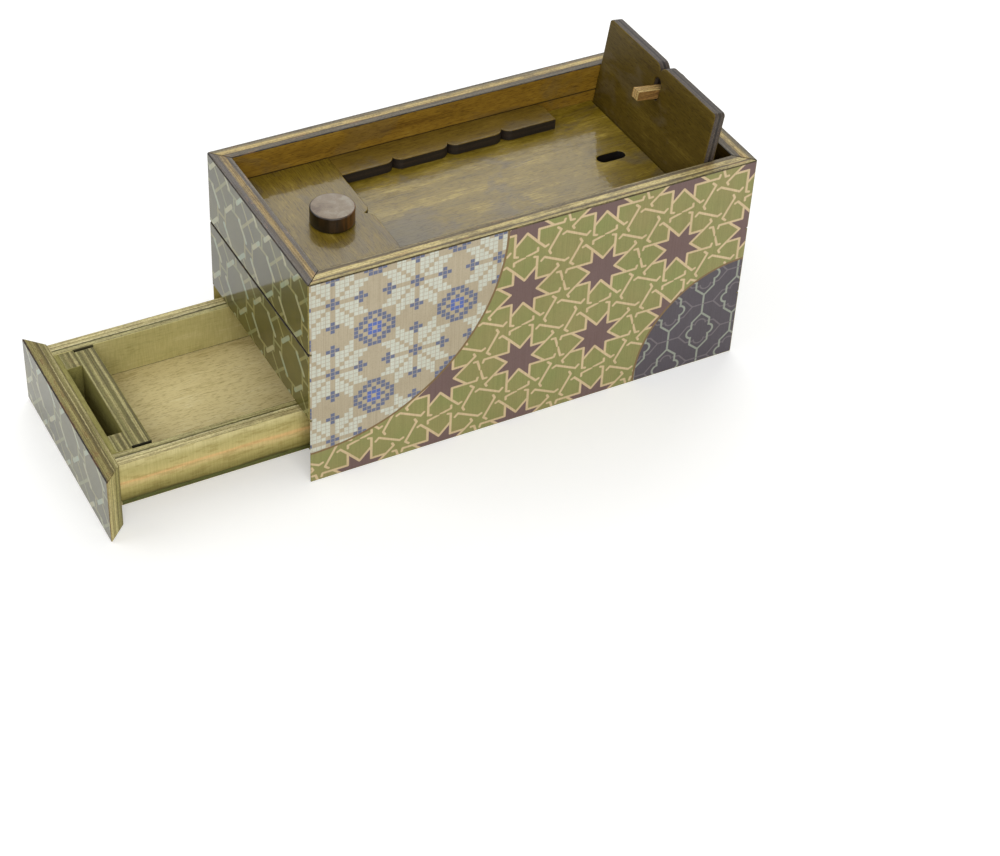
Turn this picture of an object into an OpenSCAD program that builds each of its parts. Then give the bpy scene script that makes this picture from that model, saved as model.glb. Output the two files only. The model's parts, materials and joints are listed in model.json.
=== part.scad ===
// Wooden puzzle box: a plywood case with a sliding drawer behind one end, a sunk lid tray with
// two knobs, a tilting plate over a hidden chamber, and a knob-driven bar that locks the drawer.
// The case is centred on the origin and stands on z = 0. The drawer comes out towards -X.
// The moving pieces are drawn in the opened state: drawer out, plate tipped up, bar raised.

/* [Case] */
// Length of the case, outside
case_l = 180; // [176:1:200]
// Width of the case, outside
case_w = 88.4; // [86:0.2:100]
// Height of the case
case_h = 88.8; // [88:0.2:96]
// Thickness of the case walls
wall_t = 7; // [6.6:0.1:7.4]
// Rounding of the case's upright corners
corner_r = 1; // [0.6:0.1:2]

/* [End boards] */
// Height of the lower slit's middle
slit_low = 28.8; // [28.6:0.1:29]
// Height of the upper slit's middle
slit_high = 58.6; // [56:0.1:60]
// Width of a slit
slit_w = 0.9; // [0.6:0.1:1.2]
// Depth of the saw kerf that carries a slit round the corner
kerf_d = 1.2; // [0.8:0.1:2]

/* [Tray] */
// Height of the tray floor's upper face
tray_z = 73.2; // [72.8:0.1:73.6]
// Thickness of the thin boards: floors, plates and strips
thin_t = 4.8; // [4.6:0.1:4.9]
// Width of the long strips beside the window
strip_w = 12.2; // [10:0.1:14]
// Length of the fixed plate at the drawer end
left_plate_l = 38.1; // [36:0.1:40]
// Length of the tilting plate
right_plate_l = 37.4; // [36:0.1:39]
// Depth of a cusp in the window's edge
cusp_d = 2.7; // [1.5:0.1:3]
// Half the width of a cusp
cusp_w = 3.9; // [3.5:0.1:4.5]
// Spacing of the cusps along a strip
cusp_pitch = 22.9; // [18:0.1:24]

/* [Knobs] */
// Diameter of a knob
knob_d = 16.5; // [15:0.5:18]
// Height of a knob
knob_h = 6.7; // [5:0.1:6.8]
// Distance of the left knob from the outside of its end
left_knob_in = 29.6; // [29:0.1:30.4]
// Distance of the right knob from the tilting plate's outer edge
right_knob_in = 24; // [23.8:0.1:26]
// How far the right knob's peg stands off its centre, towards the window
right_peg_off = 2.4; // [0:0.1:2.4]
// Travel of the left knob
left_travel = 3; // [2.8:0.1:3]
// Travel of the right knob
right_travel = 2.4; // [1.5:0.1:2.4]

/* [Tilting plate] */
// Lean of the open plate past upright, in degrees
lean = 7.9; // [7.6:0.1:8.4]
// Distance of the open plate's foot from the end wall
foot_in = 14.5; // [14.4:0.1:14.8]
// How far the open plate's foot stands below where its underside lies when closed
foot_drop = 2.1; // [1.6:0.1:2.4]

/* [Drawer] */
// How far the drawer is drawn out
drawer_pull = 75.8; // [0:0.1:100]
// Thickness of the drawer's side walls
side_t = 6.8; // [6:0.1:7]
// Length of the drawer's box behind its front
drawer_box_l = 157; // [140:1:160]
// Width of the lock pocket
pocket_w = 40.5; // [40:0.1:44]
// Length of the lock pocket
pocket_l = 5.8; // [5.6:0.1:6.2]

/* [Lock] */
// How far the lock bar drops when it locks
bar_drop = 4.5; // [4:0.1:4.5]
// Diameter of the cam pin
pin_d = 3; // [2.5:0.1:3.2]

/* [Hidden] */
$fn = 64;
eps = 1;
gap = 0.3;

end_x = case_l / 2;
side_y = case_w / 2;
in_x = end_x - wall_t;
in_y = side_y - wall_t;
groove_d = 2;

// levels of the floors, from the bottom up
base_t = 4.8;
drawer_z = 9.4;
drawer_floor_t = 1.8;
box_top = 27.9;
roof_z = 28.9;
roof_top = roof_z + thin_t;
floor_z = tray_z - thin_t;
runner_side_w = 10;
runner_gap = 0.2;
stop_gap = 0.4;
plate_lift = 0.2;

// tray
left_edge_x = -in_x + left_plate_l;
plate_out_x = in_x - plate_lift;
right_edge_x = plate_out_x - right_plate_l;
strip_end_x = right_edge_x - gap;
foot_x = in_x - foot_in;
mouth_gap = 0.5;
chamber_mouth_x = foot_x - mouth_gap;
cusp_r = (cusp_w * cusp_w + cusp_d * cusp_d) / (2 * cusp_d);
strip_round = 3.6;
plate_round = 1.5;

// knobs and pegs
peg_l = 3.6;
peg_w = 4.1;
peg_slot_w = 4.7;
peg_end = peg_slot_w / 2 - sqrt(pow(peg_slot_w / 2, 2) - pow(peg_w / 2, 2));
mortise_d = 3;
knob_ease = 0.5;
left_knob_x = -end_x + left_knob_in;
right_knob_x = plate_out_x - right_knob_in;
right_peg_x = right_knob_x - right_peg_off;
left_knob_z = tray_z + thin_t + plate_lift;
right_plate_z = tray_z + plate_lift;
right_knob_z = right_plate_z + thin_t + plate_lift;
right_peg_drop = 8.8;
floor_slot_w = 5;
floor_slot_end = floor_slot_w / 2 - sqrt(pow(floor_slot_w / 2, 2) - pow(peg_w / 2, 2));
floor_slot_spare = 1.9;

// the axis that the plate tips about lies where its outer lower edge swings onto its foot
tip_angle = 90 + lean;
half_turn = tan(tip_angle / 2);
tip_x = (plate_out_x + foot_x - foot_drop / half_turn) / 2;
tip_z = right_plate_z + ((plate_out_x - foot_x) / half_turn - foot_drop) / 2;

// the peg's inner lower corner swings inwards as the plate tips, and the floor slot clears it
peg_tip_r = norm([right_peg_x - peg_l / 2 - tip_x, right_plate_z - right_peg_drop - tip_z]);
peg_swing_x = tip_x - sqrt(pow(peg_tip_r, 2) - pow(tray_z - tip_z, 2));

// drawer, placed shut and then drawn out
drawer_gap = 0.5;
drawer_out_y = in_y - drawer_gap;
drawer_in_y = drawer_out_y - side_t;
liner_t = 2;
cross_t = 7.6;
cross_gap = 1;
drawer_floor_top = drawer_z + drawer_floor_t;
pocket_x = -in_x + liner_t;
cross_x = pocket_x + pocket_l;
drawer_end_x = -in_x + drawer_box_l;
front_gap = 0.3;
front_z = 0.5;

// lock
bar_t = 4.8;
bar_w = 39.5;
bar_x = pocket_x + pocket_l / 2;
bar_low = 29.2;
bar_high = 62;
rail_l = 9.5;
rail_w = 8;
rail_groove = 2.5;
slider_t = 4.6;
slider_w = 18;
slider_x0 = -76;
slider_x1 = -44;
slider_z = floor_z - gap - slider_t;
runner_x = bar_x + bar_t / 2 + gap;
runner_w = 6;
runner_h = 8;
runner_lip = 2;
cam_t = 4.4;
cam_gap = 0.4;
cam_x0 = -71.5;
cam_x1 = -57;
cam_z = 48.5;
cam_play = 0.1;
pin_x = -67;
pin_z = 57;
cheek_t = 4;
cheek_x1 = -63.7;
cheek_z0 = 53;
cheek_z1 = 61;
chamber_wall_x = -42;

lacquer = [0.45, 0.38, 0.20];
raw_ply = [0.74, 0.69, 0.46];
edge_ply = [0.80, 0.72, 0.48];
dark_stain = [0.30, 0.20, 0.10];
end_wash = [0.62, 0.64, 0.55];
print_green = [0.55, 0.58, 0.36];
print_mauve = [0.60, 0.50, 0.46];

// ---- shared shapes ----

// box between two corners
module block(x0, x1, y0, y1, z0, z1) {
    translate([x0, y0, z0]) cube([x1 - x0, y1 - y0, z1 - z0]);
}

// the same box on the front side, or mirrored to the back
module on_side(back) {
    if (back) mirror([0, 1, 0]) children();
    else children();
}

// slot with round ends along x, from x0 to x1
module round_slot(x0, x1, w, z0, z1) {
    r = w / 2;
    block(x0 + r, x1 - r, -r, r, z0, z1);
    for (x = [x0 + r, x1 - r]) translate([x, 0, z0]) cylinder(r = r, h = z1 - z0);
}

// outline of the case with its rounded upright corners, as a solid
module case_outline(z0, z1) {
    r = corner_r;
    block(-end_x + r, end_x - r, -side_y, side_y, z0, z1);
    block(-end_x, end_x, -side_y + r, side_y - r, z0, z1);
    for (x = [-end_x + r, end_x - r], y = [-side_y + r, side_y - r])
        translate([x, y, z0]) cylinder(r = r, h = z1 - z0);
}

// brace-shaped notch with two round shoulders, open towards -y and pointing towards +y
module cusp(z0, z1) {
    difference() {
        block(-cusp_w, cusp_w, -eps, cusp_d, z0, z1);
        for (x = [-cusp_w, cusp_w])
            translate([x, cusp_r, z0 - eps]) cylinder(r = cusp_r, h = z1 - z0 + 2 * eps);
    }
}

// what is taken off a square corner at the origin, whose board lies towards -x and -y
module corner_cut(r, z0, z1) {
    difference() {
        block(-r, eps, -r, eps, z0, z1);
        translate([-r, -r, z0 - eps]) cylinder(r = r, h = z1 - z0 + 2 * eps);
    }
}

// mitred board across an end; dir is -1 at the drawer end and 1 at the other
module end_board(dir, z0, z1, shrink = 0) {
    y_out = side_y - shrink;
    y_in = in_y - shrink;
    intersection() {
        translate([0, 0, z0]) linear_extrude(z1 - z0)
            polygon([[dir * end_x, -y_out], [dir * end_x, y_out], [dir * in_x, y_in], [dir * in_x, -y_in]]);
        case_outline(z0 - eps, z1 + eps);
    }
}

// ---- case ----

module long_wall() {
    difference() {
        intersection() {
            linear_extrude(case_h)
                polygon([[-end_x, -side_y], [end_x, -side_y], [in_x, -in_y], [-in_x, -in_y]]);
            case_outline(-eps, case_h + eps);
        }
        for (z = [roof_z, floor_z]) block(-in_x, in_x, -in_y - groove_d, -in_y + eps, z, z + thin_t);
        for (x = [-end_x, end_x - kerf_d], z = [slit_low, slit_high])
            block(x, x + kerf_d, -side_y - eps, -in_y + eps, z - slit_w / 2, z + slit_w / 2);
    }
}

module front_wall() {
    color(print_green) long_wall();
}

module back_wall() {
    color(print_mauve) on_side(true) long_wall();
}

module left_top_band() {
    color(end_wash) end_board(-1, slit_high + slit_w / 2, case_h);
}

module left_middle_band() {
    color(end_wash) end_board(-1, slit_low + slit_w / 2, slit_high - slit_w / 2);
}

module right_top_band() {
    color(end_wash) end_board(1, slit_high + slit_w / 2, case_h);
}

module right_middle_band() {
    color(end_wash) end_board(1, slit_low + slit_w / 2, slit_high - slit_w / 2);
}

module right_bottom_band() {
    color(end_wash) end_board(1, 0, slit_low - slit_w / 2);
}

module bottom_board() {
    color(lacquer) block(-in_x + stop_gap, in_x, -in_y, in_y, 0, base_t);
}

module drawer_runner() {
    block(-in_x + stop_gap, in_x, -in_y, -in_y + runner_side_w, base_t, drawer_z - runner_gap);
}

module drawer_runner_front() {
    color(raw_ply) drawer_runner();
}

module drawer_runner_back() {
    color(raw_ply) on_side(true) drawer_runner();
}

module drawer_bay_roof() {
    color(raw_ply) difference() {
        block(-in_x, in_x, -in_y - groove_d, in_y + groove_d, roof_z, roof_top);
        block(pocket_x, cross_x, -pocket_w / 2, pocket_w / 2, roof_z - eps, roof_top + eps);
    }
}

module recess_floor() {
    color(lacquer) difference() {
        block(-in_x, chamber_mouth_x, -in_y - groove_d, in_y + groove_d, floor_z, tray_z);
        round_slot(left_knob_x - left_travel - peg_l / 2 - gap - peg_end,
            left_knob_x + peg_l / 2 + gap + peg_end, peg_slot_w, floor_z - eps, tray_z + eps);
        round_slot(peg_swing_x - gap - floor_slot_end,
            right_peg_x + peg_l / 2 + floor_slot_end + floor_slot_spare, floor_slot_w,
            floor_z - eps, tray_z + eps);
    }
}

module strip() {
    window_y = -in_y + strip_w;
    top = tray_z + thin_t;
    difference() {
        block(left_edge_x, strip_end_x, -in_y, window_y, tray_z, top);
        for (i = [-1:1])
            translate([i * cusp_pitch, window_y, 0]) rotate([0, 0, 180]) cusp(tray_z - eps, top + eps);
        translate([strip_end_x, -in_y, 0]) mirror([0, 1, 0])
            corner_cut(strip_round, tray_z - eps, top + eps);
    }
}

module front_strip() {
    color(lacquer) strip();
}

module back_strip() {
    color(lacquer) on_side(true) strip();
}

module left_plate() {
    top = tray_z + thin_t;
    color(lacquer) difference() {
        block(-in_x, left_edge_x, -in_y, in_y, tray_z, top);
        translate([left_edge_x, 0, 0]) rotate([0, 0, 90]) cusp(tray_z - eps, top + eps);
        round_slot(left_knob_x - left_travel - peg_l / 2 - gap - peg_end,
            left_knob_x + peg_l / 2 + gap + peg_end, peg_slot_w, tray_z - eps, top + eps);
    }
}

module chamber_wall() {
    color(raw_ply) block(chamber_wall_x, chamber_wall_x + thin_t, -in_y, in_y, roof_top, floor_z);
}

// grooved upright that one edge of the lock bar runs in
module bar_rail() {
    rail_y = -bar_w / 2 - gap;
    difference() {
        block(-in_x, -in_x + rail_l, rail_y + rail_groove - rail_w, rail_y + rail_groove, roof_top, bar_high);
        block(bar_x - bar_t / 2 - gap, bar_x + bar_t / 2 + gap, rail_y, rail_y + rail_groove + eps,
            roof_top - eps, bar_high + eps);
    }
}

module bar_rail_front() {
    color(raw_ply) bar_rail();
}

module bar_rail_back() {
    color(raw_ply) on_side(true) bar_rail();
}

// strip under the tray floor with a lip that carries the lock slider's edge
module slider_runner() {
    edge_y = -slider_w / 2 - gap;
    block(runner_x, chamber_wall_x, edge_y - runner_w, edge_y, floor_z - runner_h, floor_z);
    block(runner_x, chamber_wall_x, edge_y, edge_y + runner_lip, floor_z - runner_h, slider_z - runner_gap);
}

module slider_runner_front() {
    color(raw_ply) slider_runner();
}

module slider_runner_back() {
    color(raw_ply) on_side(true) slider_runner();
}

// ---- knobs ----

// turned knob with eased edges, standing on its underside
module knob_blank() {
    r = knob_d / 2;
    e = knob_ease;
    rotate_extrude() polygon([[0, 0], [r - e, 0], [r, e], [r, knob_h - e], [r - e, knob_h], [0, knob_h]]);
}

module peg_shape(x, z0, z1) {
    block(x - peg_l / 2, x + peg_l / 2, -peg_w / 2, peg_w / 2, z0, z1);
}

module knob(x, peg_x, z) {
    difference() {
        translate([x, 0, z]) knob_blank();
        peg_shape(peg_x, z - eps, z + mortise_d);
    }
}

// ---- tilting plate ----

// turns what is drawn flat in the tray up into the plate's open position
module tipped_up() {
    translate([tip_x, 0, tip_z]) rotate([0, tip_angle, 0]) translate([-tip_x, 0, -tip_z]) children();
}

module flat_right_plate() {
    half_w = in_y - gap;
    z0 = right_plate_z;
    z1 = z0 + thin_t;
    difference() {
        block(right_edge_x, plate_out_x, -half_w, half_w, z0, z1);
        translate([right_edge_x, 0, 0]) rotate([0, 0, -90]) cusp(z0 - eps, z1 + eps);
        round_slot(right_peg_x - right_travel - peg_l / 2 - gap - peg_end,
            right_peg_x + peg_l / 2 + gap + peg_end, peg_slot_w, z0 - eps, z1 + eps);
        for (s = [0, 1]) mirror([0, s, 0]) translate([right_edge_x, half_w, 0]) mirror([1, 0, 0])
            corner_cut(plate_round, z0 - eps, z1 + eps);
    }
}

module right_plate() {
    color(lacquer) tipped_up() flat_right_plate();
}

module right_knob() {
    color(dark_stain) tipped_up() knob(right_knob_x, right_peg_x, right_knob_z);
}

module right_peg() {
    color(edge_ply) tipped_up()
        peg_shape(right_peg_x, right_plate_z - right_peg_drop, right_knob_z + mortise_d);
}

// ---- lock ----

module left_knob() {
    color(dark_stain) knob(left_knob_x, left_knob_x, left_knob_z);
}

module left_peg() {
    color(edge_ply) peg_shape(left_knob_x, slider_z, left_knob_z + mortise_d);
}

module lock_slider() {
    color(raw_ply) difference() {
        block(slider_x0, slider_x1, -slider_w / 2, slider_w / 2, slider_z, slider_z + slider_t);
        peg_shape(left_knob_x, slider_z - eps, slider_z + slider_t + eps);
    }
}

// upright plate under the slider, with the sloping slot that lifts and drops the bar
module cam_plate() {
    slot_r = pin_d / 2 + cam_play;
    slope = atan(bar_drop / left_travel);
    slot_l = norm([left_travel, bar_drop]);
    color(edge_ply) difference() {
        block(cam_x0, cam_x1, -cam_t / 2, cam_t / 2, cam_z, slider_z);
        translate([pin_x, 0, pin_z]) rotate([0, slope, 0]) {
            for (x = [0, slot_l]) translate([x, 0, 0]) rotate([90, 0, 0])
                cylinder(r = slot_r, h = cam_t + 2 * eps, center = true);
            translate([slot_l / 2, 0, 0]) cube([slot_l, cam_t + 2 * eps, 2 * slot_r], center = true);
        }
    }
}

module lock_bar() {
    color(edge_ply) block(bar_x - bar_t / 2, bar_x + bar_t / 2, -bar_w / 2, bar_w / 2, bar_low, bar_high);
}

// block on the lock bar that holds one end of the cam pin
module bar_cheek() {
    y1 = -cam_t / 2 - cam_gap;
    difference() {
        block(bar_x + bar_t / 2, cheek_x1, y1 - cheek_t, y1, cheek_z0, cheek_z1);
        translate([pin_x, 0, pin_z]) rotate([90, 0, 0]) cylinder(d = pin_d, h = bar_w);
    }
}

module bar_cheek_front() {
    color(raw_ply) bar_cheek();
}

module bar_cheek_back() {
    color(raw_ply) on_side(true) bar_cheek();
}

module cam_pin() {
    color(edge_ply) translate([pin_x, 0, pin_z]) rotate([90, 0, 0])
        cylinder(d = pin_d, h = cam_t + 2 * cam_gap + 2 * cheek_t, center = true);
}

// ---- drawer ----

module drawn_out() {
    translate([-drawer_pull, 0, 0]) children();
}

module drawer_front() {
    color(end_wash) drawn_out() end_board(-1, front_z, slit_low - slit_w / 2, front_gap);
}

module pocket_liner() {
    color(edge_ply) drawn_out()
        block(-in_x, pocket_x, -drawer_in_y, drawer_in_y, drawer_floor_top, box_top);
}

module pocket_block() {
    block(pocket_x, cross_x, -drawer_in_y, -pocket_w / 2, drawer_floor_top, box_top);
}

module pocket_block_front() {
    color(edge_ply) drawn_out() pocket_block();
}

module pocket_block_back() {
    color(edge_ply) drawn_out() on_side(true) pocket_block();
}

module drawer_cross_wall() {
    half = drawer_in_y - cross_gap;
    color(edge_ply) drawn_out()
        block(cross_x, cross_x + cross_t, -half, half, drawer_floor_top, box_top);
}

module drawer_side() {
    block(-in_x, drawer_end_x, -drawer_out_y, -drawer_in_y, drawer_floor_top, box_top);
}

module drawer_side_front() {
    color(raw_ply) drawn_out() drawer_side();
}

module drawer_side_back() {
    color(raw_ply) drawn_out() on_side(true) drawer_side();
}

module drawer_back() {
    color(raw_ply) drawn_out()
        block(drawer_end_x - side_t, drawer_end_x, -drawer_in_y, drawer_in_y, drawer_floor_top, box_top);
}

module drawer_bottom() {
    color(raw_ply) drawn_out()
        block(-in_x, drawer_end_x, -drawer_out_y, drawer_out_y, drawer_z, drawer_floor_top);
}

front_wall();
back_wall();
left_top_band();
left_middle_band();
right_top_band();
right_middle_band();
right_bottom_band();
bottom_board();
drawer_runner_front();
drawer_runner_back();
drawer_bay_roof();
recess_floor();
front_strip();
back_strip();
left_plate();
chamber_wall();
bar_rail_front();
bar_rail_back();
slider_runner_front();
slider_runner_back();
right_plate();
right_knob();
right_peg();
left_knob();
left_peg();
lock_slider();
cam_plate();
lock_bar();
bar_cheek_front();
bar_cheek_back();
cam_pin();
drawer_front();
pocket_liner();
pocket_block_front();
pocket_block_back();
drawer_cross_wall();
drawer_side_front();
drawer_side_back();
drawer_back();
drawer_bottom();
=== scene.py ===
"""Wooden puzzle box: a plywood case with printed sides and a sunk tray, a drawer behind one end,
two turned knobs, and a loose plate that tips up over a hidden chamber."""
import json
import math

import bpy
import numpy as np
from mathutils import Matrix, Vector


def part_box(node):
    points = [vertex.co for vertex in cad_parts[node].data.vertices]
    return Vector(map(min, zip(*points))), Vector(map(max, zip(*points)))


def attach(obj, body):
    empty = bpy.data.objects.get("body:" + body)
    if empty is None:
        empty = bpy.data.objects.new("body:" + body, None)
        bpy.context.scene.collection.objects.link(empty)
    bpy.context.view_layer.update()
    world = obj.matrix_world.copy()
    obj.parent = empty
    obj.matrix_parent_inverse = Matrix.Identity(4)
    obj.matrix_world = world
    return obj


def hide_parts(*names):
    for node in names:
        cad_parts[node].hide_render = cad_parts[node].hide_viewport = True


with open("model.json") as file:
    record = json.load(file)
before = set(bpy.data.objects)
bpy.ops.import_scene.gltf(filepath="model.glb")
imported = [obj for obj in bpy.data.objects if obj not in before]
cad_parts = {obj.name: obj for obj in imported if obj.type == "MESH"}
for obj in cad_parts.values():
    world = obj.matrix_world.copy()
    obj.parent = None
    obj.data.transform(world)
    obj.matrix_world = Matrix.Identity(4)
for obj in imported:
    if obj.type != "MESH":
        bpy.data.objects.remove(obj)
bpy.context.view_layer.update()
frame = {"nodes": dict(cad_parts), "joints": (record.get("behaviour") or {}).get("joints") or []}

MM = 0.001

# ---- sizes, in millimetres, taken from the frame ----


def size_of(node):
    """Lowest and highest corner of a node, in millimetres."""
    low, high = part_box(node)
    return np.array(low) / MM, np.array(high) / MM


END_X = size_of("right_bottom_band")[1][0]
SIDE_Y = -size_of("front_wall")[0][1]
TOP_Z = size_of("front_wall")[1][2]
WALL_T = SIDE_Y + size_of("front_wall")[1][1]
IN_X = END_X - WALL_T
IN_Y = SIDE_Y - WALL_T
TRAY_Z = size_of("recess_floor")[1][2]
STRIP_TOP = size_of("front_strip")[1][2]
PEG_W = size_of("left_peg")[1][1] - size_of("left_peg")[0][1]
LOW_SLIT = (size_of("right_bottom_band")[1][2], size_of("right_middle_band")[0][2])
HIGH_SLIT = (size_of("right_middle_band")[1][2], size_of("right_top_band")[0][2])
KERF_D = 1.2
BOARD_CORNER = 0.25
DRAWER_X = size_of("drawer_front")[0][0]
DRAWER_SHIFT = DRAWER_X + END_X
DRAWER_TOP = size_of("drawer_side_front")[1][2]
DRAWER_FOOT = size_of("drawer_side_front")[0][2]
DRAWER_SIDE_Y = size_of("drawer_side_back")[1][1]
SIDE_T = DRAWER_SIDE_Y - size_of("drawer_side_back")[0][1]

# the plate's hinge says how far it is tipped up
TILT = next(joint for joint in frame["joints"] if joint["name"] == "plate_tilt")
TIP_POINT = Vector(TILT["pos_m"])
TIP_ANGLE = math.radians(TILT["range_deg"][1])
TIPPED_UP = (
    Matrix.Translation(TIP_POINT) @ Matrix.Rotation(TIP_ANGLE, 4, "Y") @ Matrix.Translation(-TIP_POINT)
)


def flat_size_of(node):
    """Lowest and highest corner of a node on the loose plate, with the plate laid flat, in millimetres."""
    mesh = frame["nodes"][node].data
    places = np.empty(len(mesh.vertices) * 3, np.float32)
    mesh.vertices.foreach_get("co", places)
    turn = np.array(TIPPED_UP.inverted())
    flat = places.reshape(-1, 3) @ turn[:3, :3].T + turn[:3, 3]
    return flat.min(0) / MM, flat.max(0) / MM


# turns about the upright axis that bring a side's own left and right to x
FRONT_TURN, BACK_TURN = (0, 0, 0), (0, 0, math.pi)
LEFT_TURN, RIGHT_TURN = (0, 0, -math.pi / 2), (0, 0, math.pi / 2)
ACROSS_TURN = (0, 0, math.pi / 2)

# ---- surfaces ----


def line(start, end, step=3.0):
    """Points from start up to but not including end, about a step apart."""
    start, end = np.array(start, float), np.array(end, float)
    count = max(1, int(np.ceil(np.linalg.norm(end - start) / step)))
    share = np.arange(count)[:, None] / count
    return start + (end - start) * share


def through(*corners):
    """Points along the straight lines from corner to corner, up to but not including the last one."""
    return np.vstack([line(start, end) for start, end in zip(corners, corners[1:])])


def arc(centre, radius, first, last, count=6):
    """Points on a circle: centre + radius x (cos, sin) of angles from first up to last, in degrees."""
    turn = np.radians(np.linspace(first, last, count))[:, None]
    return np.array(centre, float) + radius * np.hstack([np.cos(turn), np.sin(turn)])


def eased_corners(corners, radius):
    """Outline through the corners with each one rounded: an arc about the point on the corner's
    bisector that lies one radius from both edges. Gives the points and each point's edge number."""
    corners = np.array(corners, float)
    points, edges = [], []
    for number, corner in enumerate(corners):
        back = corners[number - 1] - corner
        ahead = corners[(number + 1) % len(corners)] - corner
        back, ahead = back / np.linalg.norm(back), ahead / np.linalg.norm(ahead)
        half = math.acos(np.clip(back @ ahead, -1, 1)) / 2
        middle = corner + (back + ahead) / np.linalg.norm(back + ahead) * radius / math.sin(half)
        from_back = corner + back * radius / math.tan(half) - middle
        from_ahead = corner + ahead * radius / math.tan(half) - middle
        share = np.linspace(0, 1, 5)[:, None]
        sweep = from_back * (1 - share) + from_ahead * share
        sweep *= radius / np.linalg.norm(sweep, axis=1, keepdims=True)
        points.append(middle + sweep)
        edges.append(np.full(len(sweep), number))
    outline, owner = [], []
    for number, bend in enumerate(points):
        outline += [bend[:-1], line(bend[-1], points[(number + 1) % len(points)][0])]
        owner += [edges[number][:-1], np.full(len(outline[-1]), number)]
    return np.vstack(outline), np.concatenate(owner)


def outward(points):
    """Unit normals of a closed outline that runs anticlockwise: the chord between a point's
    neighbours, turned a quarter clockwise."""
    chord = np.roll(points, -1, 0) - np.roll(points, 1, 0)
    chord /= np.linalg.norm(chord, axis=1, keepdims=True)
    return np.stack([chord[:, 1], -chord[:, 0]], 1)


def add_mesh(name, vertices, faces, finishes, face_finish, body, replaced, place=None):
    """Makes one piece of these vertices in millimetres and hangs it on its body."""
    mesh = bpy.data.meshes.new(name)
    mesh.from_pydata((np.asarray(vertices) * MM).tolist(), [], faces)
    if place is not None:
        mesh.transform(place)
    for finish in finishes:
        mesh.materials.append(finish)
    mesh.polygons.foreach_set("material_index", np.asarray(face_finish, np.int32))
    mesh.update()
    piece = bpy.data.objects.new(name, mesh)
    bpy.context.scene.collection.objects.link(piece)
    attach(piece, body)
    if replaced:
        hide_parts(*replaced)
    return piece


def quads_between(rings, ahead):
    """Corner numbers of the quads between rings of points, where ahead is each point's next one."""
    near, across = np.arange(len(ahead)), len(ahead)
    ring = np.arange(rings - 1)[:, None] * across
    quads = np.stack([ring + near, ring + ahead, ring + across + ahead, ring + across + near], -1)
    return quads.reshape(-1, 4).tolist()


PLANES = {"xy": (0, 1, 2), "yz": (1, 2, 0), "zx": (2, 0, 1)}


def round_slot(first, last, width):
    """Clockwise outline of a slot along the middle line: a half circle at each end and two straights."""
    radius = width / 2
    left, right = (first + radius, 0), (last - radius, 0)
    return np.vstack([
        arc(left, radius, 180, 90, 7)[:-1], line((left[0], radius), (right[0], radius)),
        arc(right, radius, 90, -90, 13)[:-1], line((right[0], -radius), (left[0], -radius)),
        arc(left, radius, -90, -180, 7)[:-1]
    ])


def face_loops(loops):
    """Corner numbers of a board's face. A face with holes is cut in two along the middle line that
    runs through them all."""
    starts = np.cumsum([0] + [len(loop) for loop in loops])
    if len(loops) == 1:
        return [np.arange(starts[1])]
    tops, bottoms = [], []
    for loop, start in zip(loops, starts):
        level = np.flatnonzero(np.abs(loop[:, 1]) < 1e-6)
        left, right = level[loop[level, 0].argmin()], level[loop[level, 0].argmax()]
        count = len(loop)
        to_left = start + (right + np.arange((left - right) % count + 1)) % count
        to_right = start + (left + np.arange((right - left) % count + 1)) % count
        tops.append(to_right if tops else to_left)
        bottoms.append(to_left if bottoms else to_right)
    return [np.concatenate(tops), np.concatenate([bottoms[0], *bottoms[:0:-1]])]


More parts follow.
